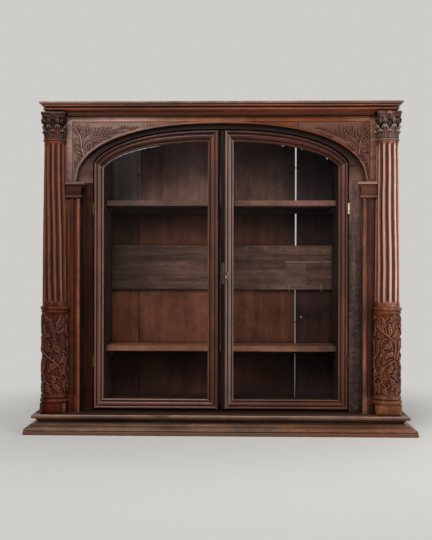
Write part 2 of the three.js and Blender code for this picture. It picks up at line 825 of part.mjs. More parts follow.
function hingeParts([z0, z1]) {
  const third = (z1 - z0) / 3;
  const spans = [[z0, z0 + third - slideGap], [z0 + third, z1 - third], [z1 - third + slideGap, z1]];
  const finialZ = [z0 - finialHeight + finialRadius, z1 + finialHeight - finialRadius];
  const frameX = [jambEdge - jointGap - hingeLeafThickness, jambEdge - jointGap];
  const doorX = [doorHalfWidth + jointGap, doorHalfWidth + jointGap + hingeLeafThickness];
  const knuckle = (span) => bar(knuckleRadius, hingeX, hingeY, span, smallSides);
  const finial = (z) => {
    const geometry = new THREE.SphereGeometry(finialRadius, 8, 6);
    geometry.translate(hingeX, hingeY, z);
    return geometry;
  };
  const pinLeaf = join(
    hingeLeaf(frameX, [z0, z1]), hingeTab(frameX, spans[0]), hingeTab(frameX, spans[2]),
    knuckle(spans[0]), knuckle(spans[2]), bar(pinRadius, hingeX, hingeY, finialZ, smallSides),
    finial(finialZ[0]), finial(finialZ[1]),
  );
  const bore = bar(pinRadius + slideGap, hingeX, hingeY, [z0, z1], smallSides);
  const middle = join(hingeLeaf(doorX, [z0, z1]), hingeTab(doorX, spans[1]), knuckle(spans[1]));
  const doorLeaf = cut(middle, bore);
  return { pinLeaf, doorLeaf };
}

function addHinges() {
  for (const side of ['left', 'right']) {
    Object.keys(hingeMiddles).forEach((place) => {
      const { pinLeaf, doorLeaf } = hingeParts(hingeSpan(place));
      add(`hinge_pin_leaf_${place}_${side}`, onSide(side, pinLeaf), looks.brass);
      addTo(doors[side], `hinge_door_leaf_${place}_${side}`, onSide(side, doorLeaf), looks.brass);
    });
  }
}

// A shape made along the key's own axis, with its front at -Y, turned and moved to the keyhole
function alongKey(geometry) {
  geometry.rotateZ(keyTilt);
  geometry.translate(keyholeX, stripFront - plateThickness, keyholeZ);
  return geometry;
}

function keyBore(radius, reach) {
  const geometry = new THREE.CylinderGeometry(radius, radius, reach + overrun, smallSides);
  geometry.translate(0, (reach - overrun) / 2, 0);
  return alongKey(geometry);
}

const lockCaseX = [doorMeeting + slideGap, doorMeeting + slideGap + lockCaseWidth];
const lockCaseY = [doorBack - lockCaseDepth, doorBack];
const lockCaseZ = [lockMiddle - lockCaseHeight / 2, lockMiddle + lockCaseHeight / 2];
const lockBoltY = [
  (lockCaseY[0] + lockCaseY[1] - lockBoltThickness) / 2,
  (lockCaseY[0] + lockCaseY[1] + lockBoltThickness) / 2,
];
const lockBoltZ = [lockMiddle - lockBoltHeight / 2, lockMiddle + lockBoltHeight / 2];

function grown([low, high], by) {
  return [low - by, high + by];
}

// The dovetailed section of the bolt, or of the slot that it slides in, which opens at the door's back
function doorBoltOutline(clearance, past) {
  const front = doorBack - doorBoltDepth - clearance;
  const back = doorBack + past;
  const halfAt = (y) => doorBoltWidth / 2 + clearance - (y - doorBack + doorBoltDepth) * doorBoltTaper;
  return [[-1, front], [1, front], [1, back], [-1, back]].map(([hand, y]) => (
    [hand * halfAt(y) - doorBoltFromEdge, y]));
}

function addLeftDoor() {
  const edges = doorEdges('left');
  const boltSlot = slab(doorBoltOutline(slideGap, overrun), doorFloor - overrun,
    doorFloor + doorBoltLength + doorBoltTravel + overrun);
  const mortise = block([-(doorMeeting + lockBoltTravel + 2 * slideGap), 0], grown(lockBoltY, slideGap),
    grown(lockBoltZ, slideGap));
  const lip = block([-leftMoulding - fuse, -doorMeeting], [doorFront + lipSetBack, doorBack],
    [doorFloor + 2 * fuse + jointGap, archHeight(doorArch, leftMoulding) - 2 * fuse - jointGap]);
  const hingeStile = cut(member(stileStations(edges.hinge, jointGap)), ...hingeRecesses());
  addTo(doors.left, 'door_hinge_stile_left', mirrored(hingeStile), looks.oak);
  const meetingStile = join(mirrored(member(stileStations(edges.meeting, jointGap))), lip);
  addTo(doors.left, 'door_meeting_stile_left', cut(meetingStile, boltSlot, mortise), looks.oak);
  addTo(doors.left, 'door_head_left', mirrored(member(headStations(edges, headSteps))), looks.oak);
  const rail = cut(mirrored(member(railStations(edges))), boltSlot);
  addTo(doors.left, 'door_bottom_rail_left', rail, looks.oak);
  addTo(doors.left, 'door_glass_left', mirrored(pane(edges)), looks.glass);
}

function railStations({ hinge, meeting }) {
  return [hinge, meeting].map(([outerX, innerX]) => (
    [[outerX, doorFloor], [innerX, doorFloor + stileWidth]]));
}

function addRightDoor() {
  const edges = doorEdges('right');
  const strip = block([doorMeeting, rightMoulding + fuse], [stripFront, doorBack],
    [doorFloor + 2 * fuse + jointGap, archHeight(doorArch, rightMoulding) - 2 * fuse - jointGap]);
  const pocket = block([doorMeeting - overrun, lockCaseX[1] + slideGap],
    [lockCaseY[0] - slideGap, doorBack + overrun], grown(lockCaseZ, slideGap));
  const hingeStile = cut(member(stileStations(edges.hinge, jointGap)), ...hingeRecesses());
  addTo(doors.right, 'door_hinge_stile_right', hingeStile, looks.oak);
  const meetingStile = join(member(stileStations(edges.meeting, jointGap)), strip);
  const bore = keyBore(keyBitReach + 2 * slideGap, keyInsertion + overrun);
  addTo(doors.right, 'door_meeting_stile_right', cut(meetingStile, pocket, bore), looks.oak);
  addTo(doors.right, 'door_head_right', member(headStations(edges, headSteps)), looks.oak);
  addTo(doors.right, 'door_bottom_rail_right', member(railStations(edges)), looks.oak);
  addTo(doors.right, 'door_glass_right', pane(edges), looks.glass);
}

function addLock() {
  const shell = block(lockCaseX, lockCaseY, lockCaseZ);
  const hollow = block(grown(lockCaseX, -lockCaseWall), grown(lockCaseY, -lockCaseWall),
    grown(lockCaseZ, -lockCaseWall));
  const slotX = [lockCaseX[0] - overrun, lockCaseX[0] + 2 * lockCaseWall];
  const slot = block(slotX, grown(lockBoltY, slideGap), grown(lockBoltZ, slideGap));
  const bore = keyBore(keyBitReach + 2 * slideGap, keyInsertion + slideGap);
  addTo(doors.right, 'lock_case', cut(shell, hollow, slot, bore), looks.steel);
  const boltX = [lockCaseX[0], lockCaseX[0] + lockBoltLength];
  addTo(lockBoltGroup, 'lock_bolt', block(boltX, lockBoltY, lockBoltZ), looks.steel);

  const plateShape = new THREE.Shape();
  const half = plateWidth / 2;
  const straight = plateHeight / 2 - half;
  plateShape.moveTo(half, -straight);
  plateShape.lineTo(half, straight);
  plateShape.absarc(0, straight, half, 0, Math.PI);
  plateShape.lineTo(-half, -straight);
  plateShape.absarc(0, -straight, half, Math.PI, 2 * Math.PI);
  const plate = new THREE.ExtrudeGeometry(plateShape, {
    depth: plateThickness - jointGap,
    bevelEnabled: false,
    curveSegments: smallSides / 2,
  });
  plate.rotateX(Math.PI / 2);
  plate.translate(keyholeX, stripFront - jointGap, lockMiddle);
  const keySlot = block(grown([keyholeX, keyholeX], keyBitThickness), [doorFront - overrun, stripFront],
    [keyholeZ - keyShankRadius - keyBitReach, keyholeZ]);
  const keyhole = keyBore(keyShankRadius + slideGap, overrun);
  addTo(doors.right, 'escutcheon', cut(plate, keyhole, keySlot), looks.brass);
}

function addKey() {
  const length = keyShankLength + keyInsertion;
  const shank = new THREE.CylinderGeometry(keyShankRadius, keyShankRadius, length, smallSides);
  shank.translate(0, (keyInsertion - keyShankLength) / 2, 0);
  const bitY = [keyInsertion - keyBitLength, keyInsertion];
  const bit = block([-keyBitThickness / 2, keyBitThickness / 2], bitY, [-keyBitReach, 0]);
  const bow = new THREE.TorusGeometry(keyBowHalfHeight, keyBowWire, 6, 18);
  bow.rotateY(Math.PI / 2);
  bow.scale(1, keyBowHalfLength / keyBowHalfHeight, 1);
  bow.translate(0, -keyShankLength - keyBowHalfLength, 0);
  const collarRadius = keyBowWire + keyShankRadius / 2;
  const collar = new THREE.CylinderGeometry(collarRadius, collarRadius, keyBowWire, smallSides);
  collar.translate(0, -keyShankLength + keyBowWire, 0);
  addTo(keyGroup, 'key', alongKey(join(shank, bit, bow, collar)), looks.steel);
}

function addDoorBolt() {
  const foot = doorFloor + overrun / 2;
  const rod = slab(doorBoltOutline(0, 0), foot, foot + doorBoltLength);
  const knobX = [-doorBoltFromEdge - doorBoltKnob / 2, -doorBoltFromEdge + doorBoltKnob / 2];
  const knobZ = [foot + doorBoltKnobHeight, foot + doorBoltKnobHeight + doorBoltKnob];
  const knob = block(knobX, [doorBack - fuse, doorBack + doorBoltKnob], knobZ);
  addTo(doorBoltGroup, 'door_bolt', join(rod, knob), looks.steel);
}

addBase();
addCarcase();
addShelves();
addColumns();
addFaceFrame();
addCornice();
addLeftDoor();
addRightDoor();
addHinges();
addLock();
addKey();
addDoorBolt();

export default cabinet;
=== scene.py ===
"""Looks of the oak wall display cabinet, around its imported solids.

Pieces are laid out in design millimetres, with the face frame's front at Y = 0, X to the right and
Z up from the floor. put() turns them into metres in the frame that the solids have.
"""
import math

import bpy
import numpy as np
from mathutils import Matrix, Vector


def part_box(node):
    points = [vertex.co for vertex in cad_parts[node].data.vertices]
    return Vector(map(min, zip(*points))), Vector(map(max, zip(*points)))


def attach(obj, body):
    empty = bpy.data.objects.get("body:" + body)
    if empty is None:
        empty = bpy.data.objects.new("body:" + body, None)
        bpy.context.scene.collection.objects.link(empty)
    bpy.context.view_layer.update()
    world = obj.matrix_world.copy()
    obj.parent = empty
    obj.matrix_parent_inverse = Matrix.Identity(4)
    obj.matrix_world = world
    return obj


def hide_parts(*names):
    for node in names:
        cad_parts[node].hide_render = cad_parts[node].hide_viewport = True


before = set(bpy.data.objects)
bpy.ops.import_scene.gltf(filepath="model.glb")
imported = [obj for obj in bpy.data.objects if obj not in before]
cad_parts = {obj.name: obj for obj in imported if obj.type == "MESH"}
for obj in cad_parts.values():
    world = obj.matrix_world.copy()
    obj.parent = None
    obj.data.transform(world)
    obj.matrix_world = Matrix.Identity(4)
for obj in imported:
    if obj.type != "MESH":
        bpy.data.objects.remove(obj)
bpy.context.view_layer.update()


MM = 0.001

# Case, arch and carved fields, in millimetres as the solids have them
case_half_width = 515.0
case_floor = 58.0
case_top = 976.0
spring_line = 772.0
arch_half_span = 450.0
arch_rise = 184.0
arch_power = 2.3
field_fillet = 5.0
field_top = 961.0
field_outer = 462.0
field_sink = 3.5
case_depth = 210.0

# Columns from the floor up: block, torus, carved drum, ring, shaft and capital
block_half = 40.0
block_chamfer = 9.0
block_wear = 0.9
block_top = 89.0
torus_top = 104.0
torus_radius = 45.0
drum_top = 376.0
drum_radius = 41.5
ring_foot = 376.2
ring_radius = 44.0
shaft_foot = 388.0
shaft_top = 896.8
shaft_foot_radius = 38.0
shaft_neck_radius = 33.5
flute_count = 12
flute_depth = 4.5
capital_foot = 897.0
abacus_foot = 968.0
capital_top = 986.0
abacus_hollow = 6.0
notch = 0.25

# Cornice and base
cornice_height = 40.0
cornice_overhang = 42.0
capital_room = 0.25
lower_step_height = 33.0
lower_step_overhang = 80.0
upper_step_height = 25.0
upper_step_overhang = 60.0

# Doors: an arch is its half span, its rise and its power
door_floor = 66.0
door_front = 18.0
door_back = 38.0
door_half_width = 397.0
door_arch = (415.0, 165.0, 2.4)
glass_arch = (386.0, 129.0, 2.4)
stile_width = 29.0
glass_inner_edge = 40.0
left_moulding = 9.0
right_moulding = 14.0
meeting_edge = 1.0
lip_front = 26.0
strip_front = 20.0
mitre_gap = 0.2
face_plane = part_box("arch_board")[0].y


# Meshes
def put(points):
    """Design millimetres to metres in the solids' frame."""
    placed = np.asarray(points, dtype=float).reshape(-1, 3) * MM
    placed[:, 1] += face_plane
    return placed


def grid_faces(rows, columns, wrap):
    """Quads between neighbouring rows and columns; wrap joins the last column to the first."""
    row, column = np.meshgrid(np.arange(rows - 1), np.arange(columns - (not wrap)), indexing="ij")
    following = (column + 1) % columns
    corners = [row * columns + column, row * columns + following,
               (row + 1) * columns + following, (row + 1) * columns + column]
    return np.stack([corner.ravel() for corner in corners], axis=1)


def volume_under(points, faces):
    """Six times the volume that the faces close, as a sum of the triple products of their corners. It is
    positive where they face outward."""
    volume = 0.0
    for i, j in ((1, 2), (2, 3)):
        if faces.shape[1] > j:
            a, b, c = points[faces[:, 0]], points[faces[:, i]], points[faces[:, j]]
            volume += np.einsum("ij,ij->i", a, np.cross(b, c)).sum()
    return volume


def ring_shell(rings, hub=-1):
    """A closed shell through rows of closed rings. Each end is a fan of triangles from the hub column."""
    rows, columns = rings.shape[:2]
    points = rings.reshape(-1, 3)
    walls = grid_faces(rows, columns, True)
    hub = hub % columns
    others = (hub + np.arange(1, columns - 1)) % columns
    after = (others + 1) % columns
    start = np.stack([np.full(others.size, hub), after, others], axis=1)
    last = (rows - 1) * columns
    end = np.stack([np.full(others.size, hub), others, after], axis=1) + last
    caps = np.concatenate([start, end])
    centre = points - points.mean(axis=0)
    if volume_under(centre, walls) + volume_under(centre, caps) < 0:
        walls, caps = walls[:, ::-1], caps[:, ::-1]
    return points, [walls, caps]


def joined(shells):
    """Several shells as one list of points and one list of face arrays."""
    points, faces, start = [], [], 0
    for shell_points, shell_faces in shells:
        points.append(shell_points)
        faces += [block + start for block in shell_faces]
        start += len(shell_points)
    return np.concatenate(points), faces


def make(name, shell, body, material, sharp_degrees=38, hollow=None):
    """Puts a shell into a mesh object that rides on a body. Hollow is a share at each point, which the
    wood's material reads as the wax and dirt that sit there together with painted shade, and where it is
    negative as a rubbed ridge with a painted highlight."""
    points, faces = shell
    mesh = bpy.data.meshes.new(name)
    placed = put(points)
    sizes = np.concatenate([np.full(len(block), block.shape[1]) for block in faces])
    corners = np.concatenate([block.ravel() for block in faces])
    mesh.vertices.add(len(placed))
    mesh.vertices.foreach_set("co", placed.ravel())
    mesh.loops.add(len(corners))
    mesh.loops.foreach_set("vertex_index", corners.astype(np.int32))
    mesh.polygons.add(len(sizes))
    mesh.polygons.foreach_set("loop_start", (np.cumsum(sizes) - sizes).astype(np.int32))
    mesh.polygons.foreach_set("use_smooth", np.ones(len(sizes), dtype=bool))
    mesh.update(calc_edges=True)
    mesh.set_sharp_from_angle(angle=math.radians(sharp_degrees))
    if hollow is not None:
        mesh.attributes.new("hollow", "FLOAT", "POINT").data.foreach_set("value", hollow.astype(np.float32))
    thing = bpy.data.objects.new(name, mesh)
    bpy.context.scene.collection.objects.link(thing)
    thing.data.materials.append(material)
    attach(thing, body)
    return thing


def smooth_line(points, steps):
    """A Catmull-Rom curve through the points, with the given number of steps between two of them."""
    line = np.asarray(points, dtype=float)
    padded = np.concatenate([2 * line[:1] - line[1:2], line, 2 * line[-1:] - line[-2:-1]])
    before, start, end, after = padded[:-3], padded[1:-2], padded[2:-1], padded[3:]
    t = (np.arange(steps) / steps)[None, :, None]
    before, start, end, after = (block[:, None] for block in (before, start, end, after))
    curve = 0.5 * (2 * start + (end - before) * t + (2 * before - 5 * start + 4 * end - after) * t ** 2
                   + (3 * start - before - 3 * end + after) * t ** 3)
    return np.concatenate([curve.reshape(-1, line.shape[1]), line[-1:]])


def ripple(over, up, size, seed):
    """Smooth unevenness between about -1 and 1: a sum of waves of about one size in seeded directions."""
    random = np.random.default_rng(seed)
    total = np.zeros_like(over, dtype=float)
    waves = 7
    for turn, phase, stretch in zip(random.uniform(0, math.tau, waves), random.uniform(0, math.tau, waves),
                                    random.uniform(0.7, 1.5, waves)):
        total += np.sin((over * math.cos(turn) + up * math.sin(turn)) * math.tau * stretch / size + phase)
    return total / waves ** 0.5


# Carving
def carved(over, up, strokes):
    """Height of carved stems and leaves over a flat surface, in mm. Each stroke follows a smooth path;
    its section is a dome over the distance from the path, as a share of the half width there. A stem
    keeps its width and thins to its end. A leaf swells and closes again, has lobes along its edges, a
    sunk midrib and slanting side veins. The highest stroke wins."""
    height = np.full(over.shape, -1.0)
    for kind, half_width, rise, path in strokes:
        line = smooth_line(path, 12)
        low = line.min(axis=0) - 1.6 * half_width
        high = line.max(axis=0) + 1.6 * half_width
        near = (over > low[0]) & (over < high[0]) & (up > low[1]) & (up < high[1])
        if not near.any():
            continue
        x, z = over[near], up[near]
        gaps = (x[:, None] - line[:, 0]) ** 2 + (z[:, None] - line[:, 1]) ** 2
        nearest = gaps.argmin(axis=1)
        run = np.gradient(line, axis=0)
        run /= np.linalg.norm(run, axis=1, keepdims=True) + 1e-9
        offset_x, offset_z = x - line[nearest, 0], z - line[nearest, 1]
        across = offset_x * -run[nearest, 1] + offset_z * run[nearest, 0]
        gap = np.hypot(offset_x, offset_z)
        t = nearest / (len(line) - 1)
        if kind == "stem":
            width = half_width * (1 - 0.5 * t)
            share = np.clip(1 - (gap / width) ** 2, 0, None)
            here = rise * (share ** 0.55 - 0.12 * np.exp(-(across / (0.3 * width)) ** 2))
        elif kind == "bud":
            width = half_width * np.ones_like(t)
            share = np.clip(1 - (gap / width) ** 2, 0, None)
            here = rise * share ** 0.6
        else:
            body = np.sin(math.pi * np.clip(t, 0.02, 1) ** 0.72) ** 0.7
            lobes = 1 - 0.3 * np.abs(np.sin(math.pi * 3.5 * t)) ** 2
            width = half_width * body * lobes + 0.15
            share = np.clip(1 - (gap / width) ** 2, 0, None)
            veins = np.cos(math.tau * (4.5 * t + 0.35 * np.abs(across) / half_width))
            midrib = np.exp(-(across / (0.13 * half_width + 0.3)) ** 2)
            here = rise * (share ** 0.5 * (0.88 + 0.16 * veins) - 0.42 * midrib * share ** 0.3)
        here = np.where(share > 0, here, -1.0)
        height[near] = np.maximum(height[near], here)
    return height


# Strokes of the left drum, as arc to the viewer's right of its front and height above the floor
left_drum_strokes = [
    ("stem", 3.1, 4.2, [(-40, 250), (-28, 243), (-14, 232), (2, 221), (14, 212), (23, 198), (27, 182),
                        (28, 168)]),
    ("stem", 2.2, 3.4, [(-6, 228), (-2, 244), (4, 262), (2, 280), (8, 292), (18, 292), (27, 282),
                        (29, 266)]),
    ("leaf", 10.0, 4.4, [(22, 246), (16, 254), (10, 266), (12, 282)]),
    ("leaf", 8.0, 3.8, [(-4, 250), (-12, 256), (-16, 268), (-10, 282)]),
    ("stem", 2.0, 3.2, [(-16, 246), (-22, 262), (-18, 278), (-10, 286), (-2, 284)]),
    ("leaf", 9.0, 3.8, [(6, 300), (2, 318), (-4, 336), (-2, 352)]),
    ("stem", 2.2, 3.4, [(6, 292), (12, 312), (22, 322), (32, 334), (38, 350)]),
    ("leaf", 8.0, 3.8, [(14, 318), (18, 334), (26, 348), (24, 362)]),
    ("leaf", 7.5, 3.6, [(12, 310), (22, 308), (32, 312), (38, 322)]),
    ("leaf", 9.0, 3.8, [(-8, 296), (-20, 300), (-28, 314), (-26, 332)]),
    ("leaf", 8.0, 3.6, [(-4, 340), (-14, 346), (-22, 356), (-20, 368)]),
    ("leaf", 12.0, 4.2, [(18, 208), (8, 206), (-4, 198), (-12, 182)]),
    ("leaf", 8.0, 3.6, [(-18, 230), (-26, 222), (-30, 208), (-26, 194)]),
    ("leaf", 8.5, 3.8, [(24, 214), (34, 220), (40, 232), (38, 246)]),
    ("stem", 2.4, 3.6, [(-36, 184), (-30, 172), (-24, 158), (-12, 149), (-2, 148), (6, 154), (12, 164)]),
    ("stem", 2.2, 3.4, [(28, 168), (20, 166), (14, 172), (24, 162), (32, 150), (35, 136)]),
    ("leaf", 9.0, 4.0, [(2, 150), (10, 142), (18, 132), (20, 118)]),
    ("leaf", 9.0, 3.8, [(-14, 150), (-16, 138), (-10, 126), (0, 118)]),
    ("leaf", 8.0, 3.6, [(-26, 160), (-34, 150), (-36, 136), (-30, 122)]),
    ("leaf", 8.0, 3.6, [(28, 176), (36, 184), (42, 196), (40, 208)]),
    ("leaf", 8.5, 3.8, [(0, 176), (6, 166), (4, 156), (-4, 162)]),
    ("bud", 4.0, 4.6, [(10, 284), (11, 285)]),
    ("bud", 3.6, 4.4, [(-12, 268), (-11, 269)]),
    ("bud", 3.4, 4.4, [(5, 222), (6, 222)]),
    ("bud", 3.6, 4.6, [(24, 190), (24, 191)]),
    ("bud", 3.0, 4.2, [(-26, 158), (-25, 158)]),
]

# Strokes of the right drum, the same way
right_drum_strokes = [
    ("stem", 3.0, 4.2, [(-40, 330), (-28, 318), (-15, 307), (0, 296), (11, 287), (18, 276), (20, 258),
                        (16, 240),
                        (17, 222), (19, 206), (26, 192), (34, 180)]),
    ("stem", 2.2, 3.6, [(2, 296), (-8, 308), (-12, 322), (-9, 336), (0, 346), (8, 340)]),
    ("leaf", 8.5, 4.4, [(0, 302), (2, 314), (0, 328), (-2, 342)]),
    ("leaf", 9.0, 3.8, [(4, 344), (10, 354), (20, 358), (30, 354)]),
    ("leaf", 8.0, 3.8, [(-16, 310), (-26, 320), (-32, 332), (-30, 348)]),
    ("leaf", 7.0, 3.8, [(-22, 322), (-18, 334), (-20, 348), (-26, 360)]),
    ("leaf", 7.0, 3.6, [(10, 296), (20, 304), (26, 318), (24, 334)]),
    ("stem", 2.2, 3.6, [(-26, 268), (-22, 282), (-12, 290), (2, 288), (10, 278), (8, 266), (-2, 262)]),
    ("leaf", 10.0, 4.4, [(-14, 262), (-6, 268), (2, 276), (0, 286)]),
    ("leaf", 8.0, 3.6, [(-28, 286), (-36, 278), (-38, 264), (-32, 252)]),
    ("bud", 4.4, 4.6, [(-28, 240), (-27, 241)]),
    ("leaf", 7.5, 3.6, [(-26, 236), (-34, 230), (-38, 218), (-34, 206)]),
    ("bud", 4.0, 5.0, [(25, 231), (26, 232)]),
    ("leaf", 8.0, 3.8, [(20, 236), (30, 242), (36, 254), (34, 268)]),
    ("leaf", 9.0, 3.8, [(16, 240), (6, 244), (-6, 240), (-14, 228)]),
    ("stem", 2.4, 3.6, [(17, 224), (5, 220), (-6, 212), (-18, 203), (-28, 206), (-36, 214)]),
    ("leaf", 8.0, 3.8, [(-16, 204), (-24, 196), (-28, 184), (-22, 172)]),
    ("leaf", 9.0, 4.0, [(4, 216), (6, 204), (0, 192), (-8, 184)]),
    ("bud", 4.0, 4.8, [(11, 179), (12, 180)]),
    ("leaf", 8.0, 3.6, [(22, 196), (18, 186), (20, 172), (28, 162)]),
    ("stem", 2.4, 3.6, [(-44, 172), (-35, 174), (-26, 168), (-22, 156), (-14, 146), (-4, 144)]),
    ("stem", 2.0, 3.6, [(-4, 144), (2, 152), (-4, 160), (-12, 156)]),
    ("leaf", 9.0, 4.0, [(2, 170), (10, 160), (12, 146), (4, 134)]),
    ("leaf", 9.0, 3.8, [(-10, 142), (-14, 132), (-8, 122), (4, 116)]),
    ("leaf", 9.0, 3.8, [(18, 156), (26, 146), (28, 132), (20, 120)]),
    ("leaf", 8.0, 3.6, [(-26, 160), (-34, 150), (-36, 136), (-30, 122)]),
    ("bud", 2.6, 4.6, [(-4, 152), (-3, 152)]),
]

# Strokes of the left spandrel, as X and Z of the cabinet
left_spandrel_strokes = [
    ("stem", 5.0, 2.6, [(-424, 852), (-431, 872), (-434, 892), (-436, 910), (-443, 926), (-451, 940)]),
    ("stem", 3.2, 2.6, [(-434, 898), (-426, 914), (-416, 928), (-412, 944)]),
    ("stem", 3.0, 2.4, [(-432, 884), (-420, 898), (-402, 908), (-380, 914), (-350, 918), (-322, 926),
                        (-298, 932)]),
    ("leaf", 4.4, 3.2, [(-446, 930), (-451, 937), (-456, 944), (-459, 952)]),
    ("leaf", 4.2, 3.0, [(-441, 922), (-448, 927), (-454, 931), (-460, 933)]),
    ("leaf", 4.4, 3.2, [(-441, 926), (-442, 936), (-443, 946), (-444, 954)]),
    ("leaf", 5.0, 3.4, [(-436, 916), (-435, 928), (-433, 940), (-432, 950)]),
    ("leaf", 4.8, 3.2, [(-430, 908), (-426, 918), (-422, 928), (-422, 938)]),
    ("leaf", 4.6, 3.4, [(-420, 918), (-414, 927), (-408, 936), (-405, 946)]),
    ("leaf", 4.6, 3.2, [(-417, 930), (-417, 938), (-416, 946), (-414, 954)]),
    ("leaf", 4.8, 3.2, [(-404, 908), (-400, 922), (-395, 934), (-390, 944)]),
    ("leaf", 4.6, 3.3, [(-394, 911), (-389, 924), (-383, 934), (-377, 944)]),
    ("leaf", 4.6, 3.3, [(-384, 914), (-378, 926), (-371, 937), (-364, 947)]),
    ("leaf", 4.6, 3.3, [(-374, 915), (-367, 926), (-359, 936), (-352, 946)]),
    ("leaf", 4.6, 3.4, [(-364, 917), (-356, 926), (-348, 936), (-341, 948)]),
    ("leaf", 4.0, 3.0, [(-354, 919), (-345, 926), (-336, 933), (-328, 938)]),
    ("leaf", 9.5, 3.2, [(-426, 884), (-414, 884), (-402, 890), (-392, 898)]),
    ("stem", 1.8, 3.0, [(-420, 878), (-408, 874), (-396, 880), (-388, 892)]),
    ("leaf", 7.0, 3.0, [(-400, 904), (-390, 900), (-380, 902), (-372, 910)]),
    ("stem", 1.7, 2.9, [(-396, 906), (-390, 899), (-380, 898), (-370, 906), (-360, 912)]),
    ("leaf", 5.0, 2.8, [(-362, 908), (-352, 911), (-342, 916), (-332, 924)]),
    ("leaf", 6.4, 2.8, [(-340, 925), (-330, 930), (-320, 937), (-310, 940)]),
    ("leaf", 7.0, 2.8, [(-322, 936), (-308, 943), (-292, 944), (-278, 940)]),
    ("leaf", 4.6, 2.6, [(-288, 936), (-276, 940), (-264, 944), (-252, 945)]),
    ("leaf", 6.0, 2.8, [(-433, 880), (-442, 890), (-450, 900), (-458, 908)]),
    ("leaf", 5.2, 2.8, [(-430, 868), (-441, 876), (-450, 884), (-459, 890)]),
    ("leaf", 5.6, 2.8, [(-428, 858), (-438, 862), (-448, 868), (-458, 874)]),
    ("leaf", 6.2, 3.0, [(-422, 868), (-432, 860), (-440, 850), (-444, 838)]),
    ("leaf", 6.4, 2.8, [(-432, 852), (-442, 848), (-450, 840), (-456, 830)]),
    ("leaf", 6.2, 2.8, [(-438, 846), (-445, 834), (-449, 820), (-452, 806)]),
    ("leaf", 4.2, 2.6, [(-449, 820), (-453, 806), (-456, 792), (-458, 782)]),
]

# Strokes of the right spandrel, the same way
right_spandrel_strokes = [
    ("stem", 3.6, 2.8, [(428, 860), (430, 878), (431, 892), (436, 908), (442, 924), (449, 942)]),
    ("stem", 3.0, 2.7, [(430, 880), (420, 890), (411, 900), (404, 914), (402, 930), (405, 946)]),
    ("stem", 2.4, 2.5, [(411, 900), (398, 904), (384, 914), (374, 926), (366, 940)]),
    ("stem", 2.0, 2.3, [(398, 903), (380, 908), (358, 918), (336, 928), (314, 936), (294, 940)]),
    ("leaf", 4.8, 3.2, [(440, 918), (446, 926), (453, 934), (458, 944)]),
    ("leaf", 4.6, 3.1, [(437, 908), (446, 914), (454, 921), (460, 930)]),
    ("leaf", 4.6, 3.0, [(433, 896), (443, 901), (452, 908), (460, 915)]),
    ("leaf", 4.8, 3.2, [(442, 924), (440, 934), (440, 944), (444, 954)]),
    ("leaf", 5.0, 3.2, [(434, 906), (430, 918), (428, 930), (430, 944)]),
    ("leaf", 5.0, 3.2, [(430, 894), (422, 908), (417, 922), (418, 938)]),
    ("leaf", 4.6, 3.1, [(406, 910), (410, 922), (412, 934), (410, 948)]),
    ("leaf", 4.6, 3.1, [(403, 916), (396, 926), (392, 938), (394, 950)]),
    ("leaf", 4.6, 3.0, [(394, 906), (388, 920), (384, 934), (380, 946)]),
    ("leaf", 4.4, 2.9, [(380, 918), (374, 930), (370, 942), (364, 950)]),
    ("leaf", 4.4, 2.8, [(382, 912), (370, 920), (360, 930), (352, 942)]),
    ("leaf", 4.2, 2.4, [(364, 916), (354, 926), (344, 934), (336, 944)]),
    ("leaf", 4.2, 2.2, [(346, 924), (336, 930), (326, 938), (318, 946)]),
    ("leaf", 4.0, 2.0, [(330, 930), (320, 934), (310, 940), (300, 946)]),
    ("leaf", 4.4, 2.2, [(352, 919), (344, 915), (334, 915), (324, 919)]),
    ("leaf", 3.8, 2.0, [(332, 928), (322, 925), (312, 926), (302, 930)]),
    ("leaf", 8.0, 3.0, [(424, 880), (412, 880), (401, 884), (392, 892)]),
    ("leaf", 6.4, 2.8, [(414, 872), (404, 874), (396, 880), (388, 888)]),
    ("leaf", 8.6, 3.2, [(428, 866), (436, 856), (443, 844), (449, 828)]),
    ("leaf", 5.6, 3.0, [(430, 878), (440, 882), (450, 884), (459, 890)]),
    ("leaf", 5.4, 3.0, [(430, 868), (442, 869), (452, 867), (460, 866)]),
    ("stem", 1.8, 3.0, [(434, 864), (444, 854), (450, 840), (453, 824), (455, 808)]),
    ("leaf", 3.4, 2.4, [(452, 822), (456, 808), (458, 796), (460, 784)]),
]


def arch_height(x, widening=0.0):
    """Height of the frame's arch over X: a superellipse that springs at the impost line."""
    share = np.clip(1 - np.abs(x / (arch_half_span + widening)) ** arch_power, 0, None)
    return spring_line + (arch_rise + widening) * share ** (1 / arch_power)


def blurred(height, steps):
    """The mean of a height over a square of neighbours, by running sums along rows and columns."""
    for axis in (0, 1):
        total = np.zeros_like(height)
        for step in range(-steps, steps + 1):
            total += np.roll(height, step, axis=axis)
        height = total / (2 * steps + 1)
    return height


def hollows(height, steps, depth):
    """How far each point lies below the mean of its neighbours, as a share of a depth. Positive is a hollow
    that holds dirt and is painted in shade, negative a ridge that is rubbed and painted with a highlight."""
    return np.clip((blurred(height, steps) - height) / depth, -1, 1)


